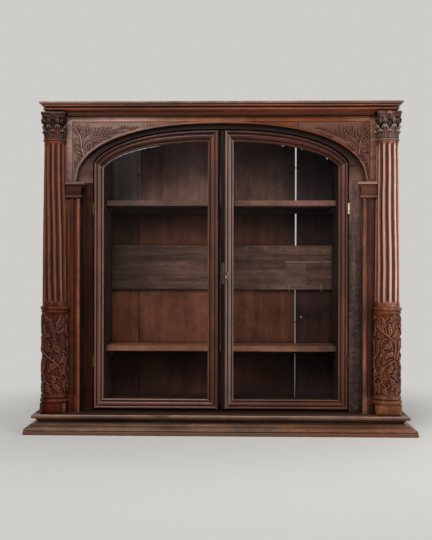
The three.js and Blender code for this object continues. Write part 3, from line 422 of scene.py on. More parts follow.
def spandrel_relief(side, strokes):
    """Foliage on the sunk field of a spandrel: a grid between the arch and the field's top border, raised
    by the carving towards the viewer, over a flat back that lies inside the board. The ground has tool
    marks and rises to the field's narrow tip. The second value is the dirt and painted shade at each point,
    with a painted shadow along the field's rim and, as a negative share, a painted highlight on the
    carving's ridges."""
    columns, rows = 226, 206
    clearance = 0.4
    tip, tip_run, tip_rise = 232.0, 40.0, 3.0
    ground_height, mark_height, mark_length = 0.3, 0.22, 6.0
    relief_share, bare_below = 1.9, 0.8
    rim_run, shaded_rim = 2.5, 2.2
    hollow_steps, hollow_depth = 4, 1.6
    under = 5.0
    x = np.linspace(tip, field_outer - clearance, columns)
    low = np.maximum(arch_height(x, field_fillet) + clearance, spring_line)
    share = np.linspace(0, 1, rows)[:, None]
    z = low + (field_top - clearance - low) * share
    x = side * np.broadcast_to(x, z.shape)
    edge = np.minimum(np.minimum(share, 1 - share) * (field_top - low), field_outer - np.abs(x))
    tip_fill = tip_rise * np.clip(1 - (np.abs(x) - tip) / tip_run, 0, 1) ** 2
    ground = ground_height + mark_height * ripple(x, z, mark_length, 3) + tip_fill
    height = np.maximum(relief_share * carved(x, z, strokes) * np.clip(edge / rim_run, 0, 1), ground)
    close = hollows(height, hollow_steps, hollow_depth)
    # Painted shadow: a dark band along the field's rim, where the border steps down to it
    rim_shade = 0.8 * np.clip(1 - edge / shaded_rim, 0, 1)
    # Dirt and painted shade in the hollows beside the strokes, and a painted highlight on their ridges
    dirt = np.where(close > 0, 3.4, 2.6) * close + 0.12 * (height < bare_below) + rim_shade
    front = np.stack([x, field_sink - height, z], axis=2)
    back = np.stack([x, np.full_like(x, field_sink + under), z], axis=2)
    return panel_shell(front, back), np.concatenate([dirt.ravel(), np.zeros(dirt.size)])


def panel_shell(front, back):
    """A closed shell between two open grids with the same rows and columns, joined round their rims."""
    rows, columns = front.shape[:2]
    count = rows * columns
    points = np.concatenate([front.reshape(-1, 3), back.reshape(-1, 3)])
    face = grid_faces(rows, columns, False)
    index = np.arange(count).reshape(rows, columns)
    rim = np.concatenate([index[0], index[1:, -1], index[-1, -2::-1], index[-2:0:-1, 0]])
    after = np.roll(rim, -1)
    walls = np.stack([rim, rim + count, after + count, after], axis=1)
    faces = np.concatenate([face, face[:, ::-1] + count, walls])
    centre = points - points.mean(axis=0)
    if volume_under(centre, faces) < 0:
        faces = faces[:, ::-1]
    return points, [faces]


# Columns. Angles run from the inner side, over the front, to the back; a quarter behind is cut away
# for the case's corner.
inner_angle = -math.pi / 2
back_angle = math.pi


def column_rings(side, radius, z, angles):
    """Rings of a notched column: at each angle from the front, out by the radius; then the notch's
    corner, which lies by the axis."""
    out = np.sin(angles) * radius
    back = -np.cos(angles) * radius
    back = np.where(angles < 0, np.minimum(back, -notch), back)
    out = np.where(angles > math.pi / 2, np.maximum(out, notch), out)
    corner = np.array([notch, -notch])
    out = np.concatenate([out, np.full((out.shape[0], 1), corner[0])], axis=1)
    back = np.concatenate([back, np.full((back.shape[0], 1), corner[1])], axis=1)
    z = np.concatenate([z, z[:, :1]], axis=1)
    return np.stack([side * (case_half_width + out), back, z], axis=2)


def with_corner(values):
    """Values of a column's grid with one more, nought, for the notch's corner in each row."""
    return np.concatenate([values, np.zeros((len(values), 1))], axis=1)


def outline_rings(side, outline, levels):
    """Rings of a slab whose outline is given about the column's axis; each level has a height and the
    share of the outline's size."""
    rings = []
    for z, share in levels:
        scaled = np.asarray(outline) * share
        scaled[:, 0] = np.where(scaled[:, 1] > notch, np.maximum(scaled[:, 0], notch), scaled[:, 0])
        scaled[:, 1] = np.where(scaled[:, 0] < 0, np.minimum(scaled[:, 1], -notch), scaled[:, 1])
        scaled[-1] = (notch, -notch)
        rings.append(np.column_stack([side * (case_half_width + scaled[:, 0]), scaled[:, 1],
                                      np.full(len(scaled), z)]))
    return np.stack(rings)


def notched_square(half, chamfer, hollow, steps):
    """Outline of three quarters of a square about the column's axis, with cut corners and sides that
    are hollowed by a cosine, from the inner side over the front and outer side to the back."""
    outline = []
    for turn in range(4):
        angle = (turn - 1) * math.pi / 2
        along = np.linspace(-(half - chamfer), half - chamfer, steps + 1)
        if turn == 0:
            along = np.concatenate([[notch], along[along > 1]])
        if turn == 3:
            along = np.concatenate([along[along < -1], [-notch]])
        away = half - hollow * np.cos(along / half * math.pi / 2)
        out = away * math.sin(angle) + along * math.cos(angle)
        back = -away * math.cos(angle) + along * math.sin(angle)
        outline += list(zip(out, back))
    outline.append((notch, -notch))
    return outline


# The carved drum's plain borders, its sunk ground with tool marks, and the carving's way down to them
drum_foot_border = 14
drum_head_border = 11
drum_ground_depth = 0.9
drum_mark_height = 0.25
drum_mark_length = 6.0
drum_rim_run = 3.0
drum_lowest = -1.2
drum_bare_below = 0.3
drum_rows = 228
drum_columns = 236

# How hollows are found on a column: the neighbours looked at on each side, and the depth of a full hollow
close_hollow = (3, 1.4)
wide_hollow = (9, 2.0)


def pedestal(side, strokes, seed):
    """Square block, torus and drum. The drum's radius is its profile's plus the carving at the arc
    from its front and the height."""
    worn = [(case_floor, 0.985), (case_floor + block_wear, 1.0), (block_top - 1.4, 1.0),
            (block_top - 0.4, 0.99), (block_top, 0.972)]
    block = ring_shell(outline_rings(side, notched_square(block_half, block_chamfer, 0, 2), worn))
    torus = smooth_line([(0.93, 0.0), (0.97, 0.08), (1.0, 0.3), (1.0, 0.6), (0.965, 0.84), (0.925, 0.94)],
                        5)
    torus = torus * (torus_radius, torus_top - block_top) + (0, block_top - 0.2)
    foot = smooth_line([(0.965, 0.0), (1.03, 0.008), (1.035, 0.02), (1.02, 0.034), (0.965, 0.042)], 4)
    head = smooth_line([(0.965, 0.965), (1.0, 0.975), (1.01, 0.985), (0.97, 1.0)], 3)
    middle = np.column_stack([np.full(drum_rows, 0.965), np.linspace(0.046, 0.96, drum_rows)])
    drum = np.concatenate([foot, middle, head]) * (drum_radius, drum_top - torus_top) + (0, torus_top)
    profile = np.concatenate([torus, drum])
    angles = np.broadcast_to(np.linspace(inner_angle, back_angle, drum_columns),
                             (len(profile), drum_columns))
    radius = np.broadcast_to(profile[:, :1], angles.shape)
    z = np.broadcast_to(profile[:, 1:], angles.shape)
    arc = side * angles * drum_radius
    foot_border, head_border = torus_top + drum_foot_border, drum_top - drum_head_border
    field = (z > foot_border) & (z < head_border)
    height = carved(arc, z, around(strokes))
    ground = -drum_ground_depth + drum_mark_height * ripple(arc, z, drum_mark_length, seed)
    edge = np.clip(np.minimum(z - torus_top - drum_foot_border, drum_top - drum_head_border - z)
                   / drum_rim_run, 0, 1)
    bare = height < drum_bare_below
    raised = np.maximum(0.8 * np.maximum(height, 0) + ground * bare, drum_lowest) * edge
    radius = radius + np.where(field, raised, 0)
    close = hollows(radius, *close_hollow)
    wide = 0.5 * hollows(radius, *wide_hollow)
    # Dirt and painted shade in the hollows and on the sunk ground, and a painted highlight on the raised
    # stems
    dirt = (np.where(close > 0, 2.0, 0.4) * close + wide + 0.15 * bare) * field
    dirt = np.concatenate([np.zeros(len(block[0])), with_corner(dirt).ravel()])
    return joined([block, ring_shell(column_rings(side, radius, z, angles))]), dirt


def around(strokes):
    """The strokes of the front, and the same again beside them on the way round the drum, an arc of one
    step further each time."""
    step = 76.0
    copies = []
    for kind, half_width, rise, path in strokes:
        for turn in (-2, -1, 0, 1, 2):
            shift = turn * step
            copies.append((kind, half_width, rise, [(over + shift, up) for over, up in path]))
    return copies


def shaft(side, wander_degrees, seed):
    """Ring and fluted shaft. The radius falls from foot to neck with a slight swelling, less a half
    round flute between narrow fillets; the flutes stop short of the ends and wander as they go down, and
    the surface is as uneven as a hand leaves it."""
    ring = smooth_line([(0.9, 0.0), (0.98, 0.12), (1.0, 0.4), (1.0, 0.62), (0.96, 0.86), (0.88, 0.97)], 4)
    ring = ring * (ring_radius, shaft_foot - ring_foot) + (0, ring_foot)
    rows, columns = 150, 217
    foot_stop, neck_stop, stop_length = 13, 9, 9.0
    hand_height, hand_length = 0.22, 30.0
    wave_turn, wave_length = 0.02, 47.0
    above_ring = 1
    share = np.linspace(0, 1, rows)
    z = shaft_foot + (shaft_top - shaft_foot) * share
    plain = shaft_foot_radius + (shaft_neck_radius - shaft_foot_radius) * share ** 1.4
    profile = np.concatenate([ring, np.column_stack([plain, z])])
    angles = np.broadcast_to(np.linspace(inner_angle, back_angle, columns), (len(profile), columns))
    radius = np.broadcast_to(profile[:, :1], angles.shape).copy()
    z = np.broadcast_to(profile[:, 1:], angles.shape)
    down = np.clip((shaft_top - z) / (shaft_top - shaft_foot), 0, 1)
    drift = math.radians(wander_degrees) * down ** 1.3
    wave = wave_turn * np.sin(z / wave_length + seed)
    phase = (side * angles - drift + wave) * flute_count / math.tau
    across = np.abs((phase % 1) - 0.5) * 2
    flute_share = 0.66
    flute = np.sqrt(np.clip(1 - (across / flute_share) ** 2, 0, 1))
    start, end = shaft_foot + foot_stop, shaft_top - neck_stop
    from_end = np.clip(np.minimum(z - start, end - z) / stop_length, 0, 1)
    stop = np.sqrt(1 - (1 - from_end) ** 2)
    on_shaft = z > shaft_foot + above_ring
    radius -= np.where(on_shaft, flute_depth * flute * stop, 0)
    arc = angles * shaft_foot_radius
    radius += np.where(on_shaft, hand_height * ripple(arc * 3, z * 0.4, hand_length, seed), 0)
    radius = np.minimum(radius, profile[:, :1])
    # Dirt and painted shade in the flutes, and a painted highlight on the fillets
    dirt = with_corner(np.where(on_shaft, (flute ** 3 - 0.9 * (flute == 0)) * stop, 0))
    return ring_shell(column_rings(side, radius, z, angles)), dirt.ravel()


def leaf_row(angles, z, count, shift, foot, top, width_share, rise):
    """Relief of a row of acanthus leaves on a bell: each leaf fills a share of its pitch, narrows in
    lobes to a rounded tip, leans out with the square of its height, rolls over at the tip, and has a
    raised midrib with fluted ribs beside it."""
    pitch = math.tau / count
    across = ((angles + shift) / pitch + 0.5) % 1 - 0.5
    t = (z - foot) / (top - foot)
    inside = (t > 0) & (t < 1)
    t = np.clip(t, 0, 1)
    lobes = 1 - 0.2 * np.abs(np.sin(math.pi * 3 * t))
    half = 0.5 * width_share * lobes * np.clip(1 - t ** 5, 0, 1) ** 0.5 + 1e-3
    share = np.clip(1 - (across / half) ** 2, 0, 1)
    roll = np.exp(-((t - 0.86) / 0.13) ** 2)
    lean = 0.25 + 0.45 * t ** 2 + 0.75 * roll
    ribs = 0.22 * np.cos(across / half * math.pi * 3)
    return np.where(inside & (share > 0), rise * lean * (share ** 0.4 + ribs * share), 0)


def spiral_disc(centre, axis, up, radius, width, turns, hand):
    """A scroll: a disc round an axis whose two faces carry a spiral ridge that winds to a round eye.
    The ridge is a cosine of the distance from the centre less the angle's share of the pitch."""
    around_count, out_count = 40, 16
    out = np.concatenate([np.linspace(0.02, 1, out_count), np.linspace(1, 0.02, out_count)])
    face = np.concatenate([np.full(out_count, -1.0), np.full(out_count, 1.0)])
    turn = np.arange(around_count) * math.tau / around_count
    out, face = out[:, None], face[:, None]
    pitch = 1 / turns
    ridge = 0.5 + 0.5 * np.cos(math.tau * (out / pitch - hand * face * turn / math.tau))
    eye = np.exp(-(out / 0.2) ** 2)
    rim = np.sqrt(np.clip(1 - out ** 8, 0, 1))
    depth = face * width / 2 * (0.62 * rim + 0.22 * ridge * rim + 0.3 * eye)
    sideways = np.cross(axis, up)
    spread = (out * radius)[..., None]
    place = (np.asarray(centre) + spread * (np.cos(turn)[:, None] * sideways + np.sin(turn)[:, None] * up)
             + depth[..., None] * axis)
    # Dirt and painted shade in the spiral's groove, a painted highlight on its ridge and eye
    return ring_shell(place), (1.3 * (1 - ridge) - 0.5 * ridge - eye).ravel()


def fleuron(centre, normal, size):
    """A small flower: a dome whose outline has five petals and whose height has a sunk ring and a
    raised eye."""
    around_count, out_count = 40, 12
    turn = np.arange(around_count) * math.tau / around_count
    share = np.linspace(1, 0.03, out_count)[:, None]
    petals = 1 - 0.22 * np.abs(np.sin(2.5 * turn)) ** 2
    height = size * (0.5 * np.sqrt(1 - share ** 2) - 0.16 * np.exp(-((share - 0.4) / 0.12) ** 2)
                     + 0.2 * np.exp(-(share / 0.25) ** 2)) * (0.85 + 0.15 * petals)
    height[0] = -0.2 * size
    up = np.array([0.0, 0.0, 1.0])
    sideways = np.cross(normal, up)
    spread = (share * size * petals)[..., None]
    place = (np.asarray(centre) + spread * (np.cos(turn)[:, None] * sideways + np.sin(turn)[:, None] * up)
             + height[..., None] * normal)
    # Dirt and painted shade in the sunk ring, a painted highlight on the raised eye
    dirt = 1.2 * np.exp(-((share - 0.45) / 0.14) ** 2) - 0.5 * np.exp(-(share / 0.25) ** 2) + 0 * turn
    return ring_shell(place), dirt.ravel()


def ray_at(side, share):
    """The level direction out from a column's axis, at a share of half a turn from its front."""
    turn = share * math.pi
    return np.array([side * math.sin(turn), -math.cos(turn), 0.0])


# The capital's bell: the ring at its foot, its flare and its lip under the abacus
astragal_height = 6.4
astragal_out = 3.6
bell_set_back = 0.8
bell_flare = 3.5
bell_into_abacus = 2
lip_level = 66
lip_size = 3.0
tool_mark_height = 0.15
tool_mark_length = 5
leaf_count = 8
bare_above = 7
shaded_above = 44

# Its abacus, as the rise over its foot and the share of its outline at each level, then its ornaments
abacus_steps = ((0, 0.9), (1, 0.93), (5, 0.955), (7.5, 0.93), (8.5, 0.965), (11, 1.0))
abacus_wear = 1
volute_radius = 12.0
volute_width = 13.0
volute_rise = 1.5
volute_turns = 2.2
helix_radius = 7.4
helix_width = 8.0
helix_drop = 1.0
helix_reach = 2.5
helix_turns = 1.7
fleuron_size = 8.6
fleuron_drop = 9
fleuron_sink = 1.0


def capital(side, seed):
    """Astragal, bell with two rows of leaves, corner volutes, inner helices, abacus and fleurons."""
    rows, columns = 96, 250
    t = np.linspace(0, 1, rows)[:, None]
    z = capital_foot + (abacus_foot + bell_into_abacus - capital_foot) * t
    angles = np.linspace(inner_angle, back_angle, columns)
    z, angles = np.broadcast_to(z, (rows, columns)), np.broadcast_to(angles, (rows, columns))
    up = z - capital_foot
    half = astragal_height / 2
    astragal = astragal_out * np.sqrt(np.clip(1 - ((up - half) / half) ** 2, 0, 1))
    flare = bell_flare * (up / (abacus_foot - capital_foot)) ** 3
    bell = shaft_neck_radius - bell_set_back + flare + np.where(up < astragal_height, astragal, 0)
    upper = leaf_row(angles, up, leaf_count, math.pi / leaf_count, foot=8, top=50, width_share=0.96,
                     rise=6.0)
    lower = leaf_row(angles, up, leaf_count, 0, foot=6, top=34, width_share=0.98, rise=6.4)
    lip = lip_size * np.exp(-((up - lip_level) / lip_size) ** 2)
    leaves = np.maximum(upper, lower)
    marks = tool_mark_height * ripple(angles * 34, z, tool_mark_length, seed)
    radius = bell + leaves + lip + marks
    shells = [ring_shell(column_rings(side, np.minimum(radius, block_half), z, angles))]
    bare = (leaves < 0.2) & (up > bare_above)
    close = 1.8 * hollows(radius, *close_hollow)
    # Dirt and painted shade in the hollows and on the bare bell, painted darker still above the given
    # height in the shade under the volutes, and a painted highlight on the leaves' ridges
    dirt = [with_corner(close + 0.45 * bare + 0.35 * (up > shaded_above) * bare).ravel()]
    outline = notched_square(block_half, block_chamfer, abacus_hollow, 16)
    levels = [(abacus_foot + rise, share) for rise, share in abacus_steps]
    levels += [(capital_top - abacus_wear, 1.0), (capital_top, 0.985)]
    shells.append(ring_shell(outline_rings(side, outline, levels)))
    dirt.append(np.zeros(len(shells[-1][0])))
    carved_bits = []
    upright = np.array([0.0, 0.0, 1.0])
    volute_height = abacus_foot - volute_radius + volute_rise
    reach = math.sqrt(2) * (block_half - block_chamfer / 2) - volute_radius
    for angle_share in (-0.25, 0.25, 0.75):
        ray = ray_at(side, angle_share)
        axis = np.cross(ray, upright)
        centre = np.array([side * case_half_width, 0, volute_height]) + reach * ray
        carved_bits.append(spiral_disc(centre, axis, upright, volute_radius, volute_width, volute_turns, 1))
    for angle_share, hand in ((-0.12, 1), (0.12, -1), (0.38, 1), (0.62, -1)):
        ray = ray_at(side, angle_share)
        centre = np.array([side * case_half_width, 0, volute_height - helix_drop])
        centre = centre + (shaft_neck_radius + helix_reach) * ray
        carved_bits.append(spiral_disc(centre, ray, upright, helix_radius, helix_width, helix_turns, hand))
    for angle_share in (0, 0.5):
        ray = ray_at(side, angle_share)
        centre = np.array([side * case_half_width, 0, capital_top - fleuron_drop])
        centre = centre + (block_half - abacus_hollow - fleuron_sink) * ray
        carved_bits.append(fleuron(centre, ray, fleuron_size))
    for shell, bit_dirt in carved_bits:
        shells.append(shell)
        dirt.append(bit_dirt)
    return joined(shells), np.concatenate(dirt)


# Mouldings
def section(runs):
    """A moulding's section: each run of three or more points is drawn as a smooth curve, a run of one
    or two keeps its corners."""
    drawn = [smooth_line(run, 5) if len(run) > 2 else np.asarray(run, dtype=float) for run in runs]
    return np.concatenate(drawn)


door_section = section([
    [(0.0, 0.0)],
    [(0.0, 0.85), (0.02, 0.93), (0.06, 0.98), (0.14, 1.0), (0.22, 0.96), (0.27, 0.86), (0.275, 0.8)],
    [(0.33, 0.79), (0.34, 0.84), (0.38, 0.91), (0.47, 0.96), (0.57, 0.955), (0.67, 0.89), (0.75, 0.78),
     (0.78, 0.71)],
    [(0.825, 0.71), (0.83, 0.78), (0.87, 0.85), (0.92, 0.865), (0.97, 0.83), (1.0, 0.74)],
    [(1.0, 0.5), (0.79, 0.5)],
    [(0.79, 0.0)],
])
cornice_section = section([
    [(0.0, 0.0), (0.3, 0.02)],
    [(0.3, 0.12), (0.38, 0.15)],
    [(0.38, 0.28), (0.4, 0.31), (0.45, 0.33)],
    [(0.6, 0.345), (0.68, 0.38), (0.735, 0.44), (0.735, 0.5), (0.69, 0.55), (0.62, 0.59)],
    [(0.56, 0.6), (0.56, 0.66)],
    [(0.8, 0.68), (0.835, 0.72), (0.83, 0.77), (0.77, 0.82)],
    [(0.95, 0.85), (0.985, 0.87), (1.0, 0.91), (1.0, 0.97), (0.985, 1.0)],
    [(0.0, 1.0)],
])
lower_step_section = section([
    [(0.97, 0.0)],
    [(1.0, 0.03), (1.0, 0.3)],
    [(0.965, 0.34), (0.967, 0.37), (0.985, 0.42), (0.988, 0.48), (0.965, 0.56), (0.92, 0.65), (0.83, 0.76),
     (0.76, 0.82)],
    [(0.75, 0.9), (0.72, 0.925), (0.63, 0.94), (0.585, 1.0)],
])
upper_step_section = section([
    [(0.73, 0.0), (0.73, 0.14)],
    [(0.75, 0.28), (0.8, 0.42), (0.84, 0.53)],
    [(0.93, 0.55), (0.985, 0.62), (1.0, 0.74), (0.99, 0.88), (0.94, 1.0)],
])


def section_dirt(proud, depth):
    """Share of dirt and painted shade at each point of a section: how far it lies below the mean of the
    seven points round it, three on either side, as a share of a depth. Negative on the beads, which are
    rubbed and carry a painted highlight."""
    mean = sum(np.roll(proud, step) for step in (-3, -2, -1, 0, 1, 2, 3)) / 7
    return np.clip((mean - proud) / depth, -1, 1)


def height_of(arch, x):
    """Height over X of one of the doors' flattened arches, which spring at the impost line."""
    half_span, rise, power = arch
    return spring_line + rise * (1 - np.abs(x / half_span) ** power) ** (1 / power)


def member(hand, outer, inner, seed):
    """A length of the doors' moulding between rows of outer and inner edge points: each ring is the
    section stretched from one edge to the other, and uneven by a tenth or two of a millimetre."""
    uneven_height, uneven_length = 0.16, 38.0
    across = door_section[:, 0]
    forward = door_section[:, 1]
    x = outer[:, :1] + (inner[:, :1] - outer[:, :1]) * across
    z = outer[:, 1:] + (inner[:, 1:] - outer[:, 1:]) * across
    y = door_back - (door_back - door_front) * forward + np.zeros_like(x)
    uneven = uneven_height * ripple(x + z, across * 40 + 0 * x, uneven_length, seed)
    y = y + np.where(forward > 0.6, np.clip(uneven, 0, None), 0)
    dirt = np.where(forward > 0.5, section_dirt(forward, 0.035), 0)
    return ring_shell(np.stack([hand * x, y, z], axis=2)), (dirt + 0 * x).ravel()


def edge_points(x, z):
    """Rows of X and Z, with one X for all the heights or one for each."""
    return np.column_stack([np.broadcast_to(x, np.shape(z)), z])


def door_members(hand, meeting_outer, seed):
    """Stiles, head and rail of a door, each mitred to the next."""
    hinge_inner = door_half_width - stile_width
    steps = 60
    along = np.linspace(0, 1, steps)
    shells = {}
    for name, outer_x, inner_x in (("hinge_stile", door_half_width, hinge_inner),
                                   ("meeting_stile", meeting_outer, glass_inner_edge)):
        low, high = door_floor + mitre_gap, height_of(door_arch, outer_x) - mitre_gap
        inner_low, inner_high = low + stile_width, height_of(glass_arch, inner_x) - mitre_gap
        shells[name] = member(hand, edge_points(outer_x, low + (high - low) * along),
                              edge_points(inner_x, inner_low + (inner_high - inner_low) * along), seed)
    bend = np.linspace(0, 1, 90) ** 1.7
    outer_x = door_half_width + (meeting_outer - door_half_width) * bend
    inner_x = hinge_inner + (glass_inner_edge - hinge_inner) * bend
    shells["head"] = member(hand, np.column_stack([outer_x, height_of(door_arch, outer_x)]),
                            np.column_stack([inner_x, height_of(glass_arch, inner_x)]), seed + 1)
    outer_x = door_half_width + (meeting_outer - door_half_width) * along
    inner_x = hinge_inner + (glass_inner_edge - hinge_inner) * along
    level = np.full(steps, door_floor)
    shells["bottom_rail"] = member(hand, edge_points(outer_x, level),
                                   edge_points(inner_x, level + stile_width), seed + 2)
    return shells


def block_shell(x, y, z, rounding):
    """A straight board, its four long edges cut off by the rounding."""
    outline = [(x[0] + rounding, y[0]), (x[1] - rounding, y[0]),
               (x[1], y[0] + rounding), (x[1], y[1] - rounding),
               (x[1] - rounding, y[1]), (x[0] + rounding, y[1]),
               (x[0], y[1] - rounding), (x[0], y[0] + rounding)]
    levels = np.linspace(z[0], z[1], 12)
    rings = [np.column_stack([np.asarray(outline), np.full(len(outline), level)]) for level in levels]
    return ring_shell(np.stack(rings))


def dents(run, places):
    """Depth of worn dents along a run: at each place a bell curve with a width and a depth."""
    depth = np.zeros_like(run, dtype=float)
    for middle, width, deep in places:
        depth += deep * np.exp(-np.abs((run - middle) / width) ** 3)
    return depth


def moulded_run(profile, overhang, floor, height, steps, reach, places, seed):
    """A moulding round the front and both sides: the section is carried along the left side, the front
    and the right side, mitred at the corners. Its edges are worn back unevenly, and dented in places
    that are given along X of the front."""
    long_wear_depth, long_wear_length = 0.5, 61.0
    short_wear_depth, short_wear_length = 0.4, 13.0
    unworn_foot = 1.0
    side_steps = 13
    out = overhang * profile[:, 0]
    z = floor + height * profile[:, 1]
    side = np.linspace(reach, 0, side_steps + 1)
    front = np.linspace(-1, 1, steps)
    rings = []
    for share in side[:-1]:
        rings.append(np.column_stack([-(case_half_width + out), share + (-out) * (1 - share / reach), z]))
    for share in front:
        rings.append(np.column_stack([share * (case_half_width + out), -out, z]))
    for share in side[::-1][1:]:
        rings.append(np.column_stack([case_half_width + out, share + (-out) * (1 - share / reach), z]))
    rings = np.stack(rings)
    on_front = slice(side_steps, side_steps + steps)
    run = rings[on_front, :, 0]
    proud = np.clip((profile[:, 0] - 0.72) / 0.28, 0, 1)
    long_wear = long_wear_depth * np.clip(ripple(run, 0 * run, long_wear_length, seed), 0, None)
    short_wear = short_wear_depth * np.clip(ripple(run, z + 0 * run, short_wear_length, seed + 1), 0, None)
    wear = long_wear + short_wear
    rings[on_front, :, 1] += proud * (wear + dents(run, places))
    rings[on_front, :, 2] += np.where(z < floor + unworn_foot, 0, -0.35 * proud * wear)
    return rings


def closed_moulding(rings, inner, floor, height, dirt):
    """Closes a run of a moulding with a flat floor and top that meet its back at the inner edge."""
    back_set = 0.4
    foot = rings[:, :1].copy()
    head = rings[:, -1:].copy()
    for edge, level in ((foot, floor), (head, floor + height)):
        edge[..., 0] = np.clip(edge[..., 0], -inner, inner)
        edge[..., 1] = np.maximum(edge[..., 1], back_set)
        edge[..., 2] = level
    dirt = np.concatenate([[0], dirt, [0]]) + np.zeros((len(rings), 1))
    return ring_shell(np.concatenate([foot, rings, head], axis=1)), dirt.ravel()


def cut_boxes(thing, boxes):
    """Cuts boxes, given as X, Y and Z ranges in design millimetres, out of a piece."""
    cutter_rounding = 0.02
    cutters = []
    for x, y, z in boxes:
        points, faces = block_shell(x, y, z, cutter_rounding)
        mesh = bpy.data.meshes.new("cutter")
        mesh.from_pydata(put(points).tolist(), [],
                         [list(face) for block in faces for face in block.tolist()])
        cutter = bpy.data.objects.new("cutter", mesh)
        bpy.context.scene.collection.objects.link(cutter)
        step = thing.modifiers.new("cut", "BOOLEAN")
        step.operation = "DIFFERENCE"
        step.solver = "EXACT"
        step.object = cutter
        cutters.append(cutter)
    bpy.context.view_layer.update()
    cut = bpy.data.meshes.new_from_object(thing.evaluated_get(bpy.context.evaluated_depsgraph_get()))
    thing.modifiers.clear()
    thing.data = cut
    for cutter in cutters:
        bpy.data.objects.remove(cutter)


# Colours and materials
def colour(code):
    """An sRGB hex value as linear red, green, blue and alpha."""
    shares = [int(code[i:i + 2], 16) / 255 for i in (1, 3, 5)]
    linear = [share / 12.92 if share <= 0.04045 else ((share + 0.055) / 1.055) ** 2.4 for share in shares]
    return (*linear, 1.0)


def node(tree, kind, settings=None, **links):
    """Adds a shader node of a kind, sets its properties and sockets, and links other nodes' sockets into
    it. A socket is named, or given by its number, with an underscore before it in a link."""
    made = tree.nodes.new("ShaderNode" + kind)
    for name, value in (settings or {}).items():
        if isinstance(name, int) or name in made.inputs:
            made.inputs[name].default_value = value
        else:
            setattr(made, name, value)
    for name, source in links.items():
        socket = made.inputs[int(name[1:])] if name[0] == "_" and name[1:].isdigit() else made.inputs[name]
        tree.links.new(source, socket)
    return made


def ramp(tree, source, stops):
    """A colour ramp over a value, given as pairs of a place and a colour or a grey."""
    made = node(tree, "ValToRGB", _0=source)
    elements = made.color_ramp.elements
    while len(elements) < len(stops):
        elements.new(0.5)
    for element, (place, value) in zip(elements, stops):
        element.position = place
        element.color = (*value[:3], 1) if isinstance(value, tuple) else (value, value, value, 1)
    return made.outputs["Color"]


def new_material(name):
    """An empty node material, with its tree."""
    material = bpy.data.materials.new(name)
    material.use_nodes = True
    material.node_tree.nodes.clear()
    return material, material.node_tree


# How a noise is stretched where the grain runs along X, Y or Z
stretches = {"x": (0.055, 1, 1), "y": (1, 0.055, 1), "z": (1, 1, 0.055)}

# Noise scales of the oak, per metre: a figure about 22 mm wide, growth rings of 5 mm, pores every 1.6 mm,
# clouds of patina 140 mm across and the hollows of a hand plane 17 mm across
figure_scale = 46.0
ring_scale = 190.0
pore_scale = 640.0
patina_scale = 7.0
plane_scale = 60.0

# How far round a point, in metres, its corner holds wax and is painted in shade, and its edge is rubbed and
# painted with a highlight
carved_corner_reach = 0.011
plain_corner_reach = 0.02
rubbed_edge_reach = 0.0035

# Settings of the nodes that lay one colour over another
blended = {"data_type": "RGBA", "blend_type": "MIX"}
multiplied = {"data_type": "RGBA", "blend_type": "MULTIPLY", 0: 1.0}


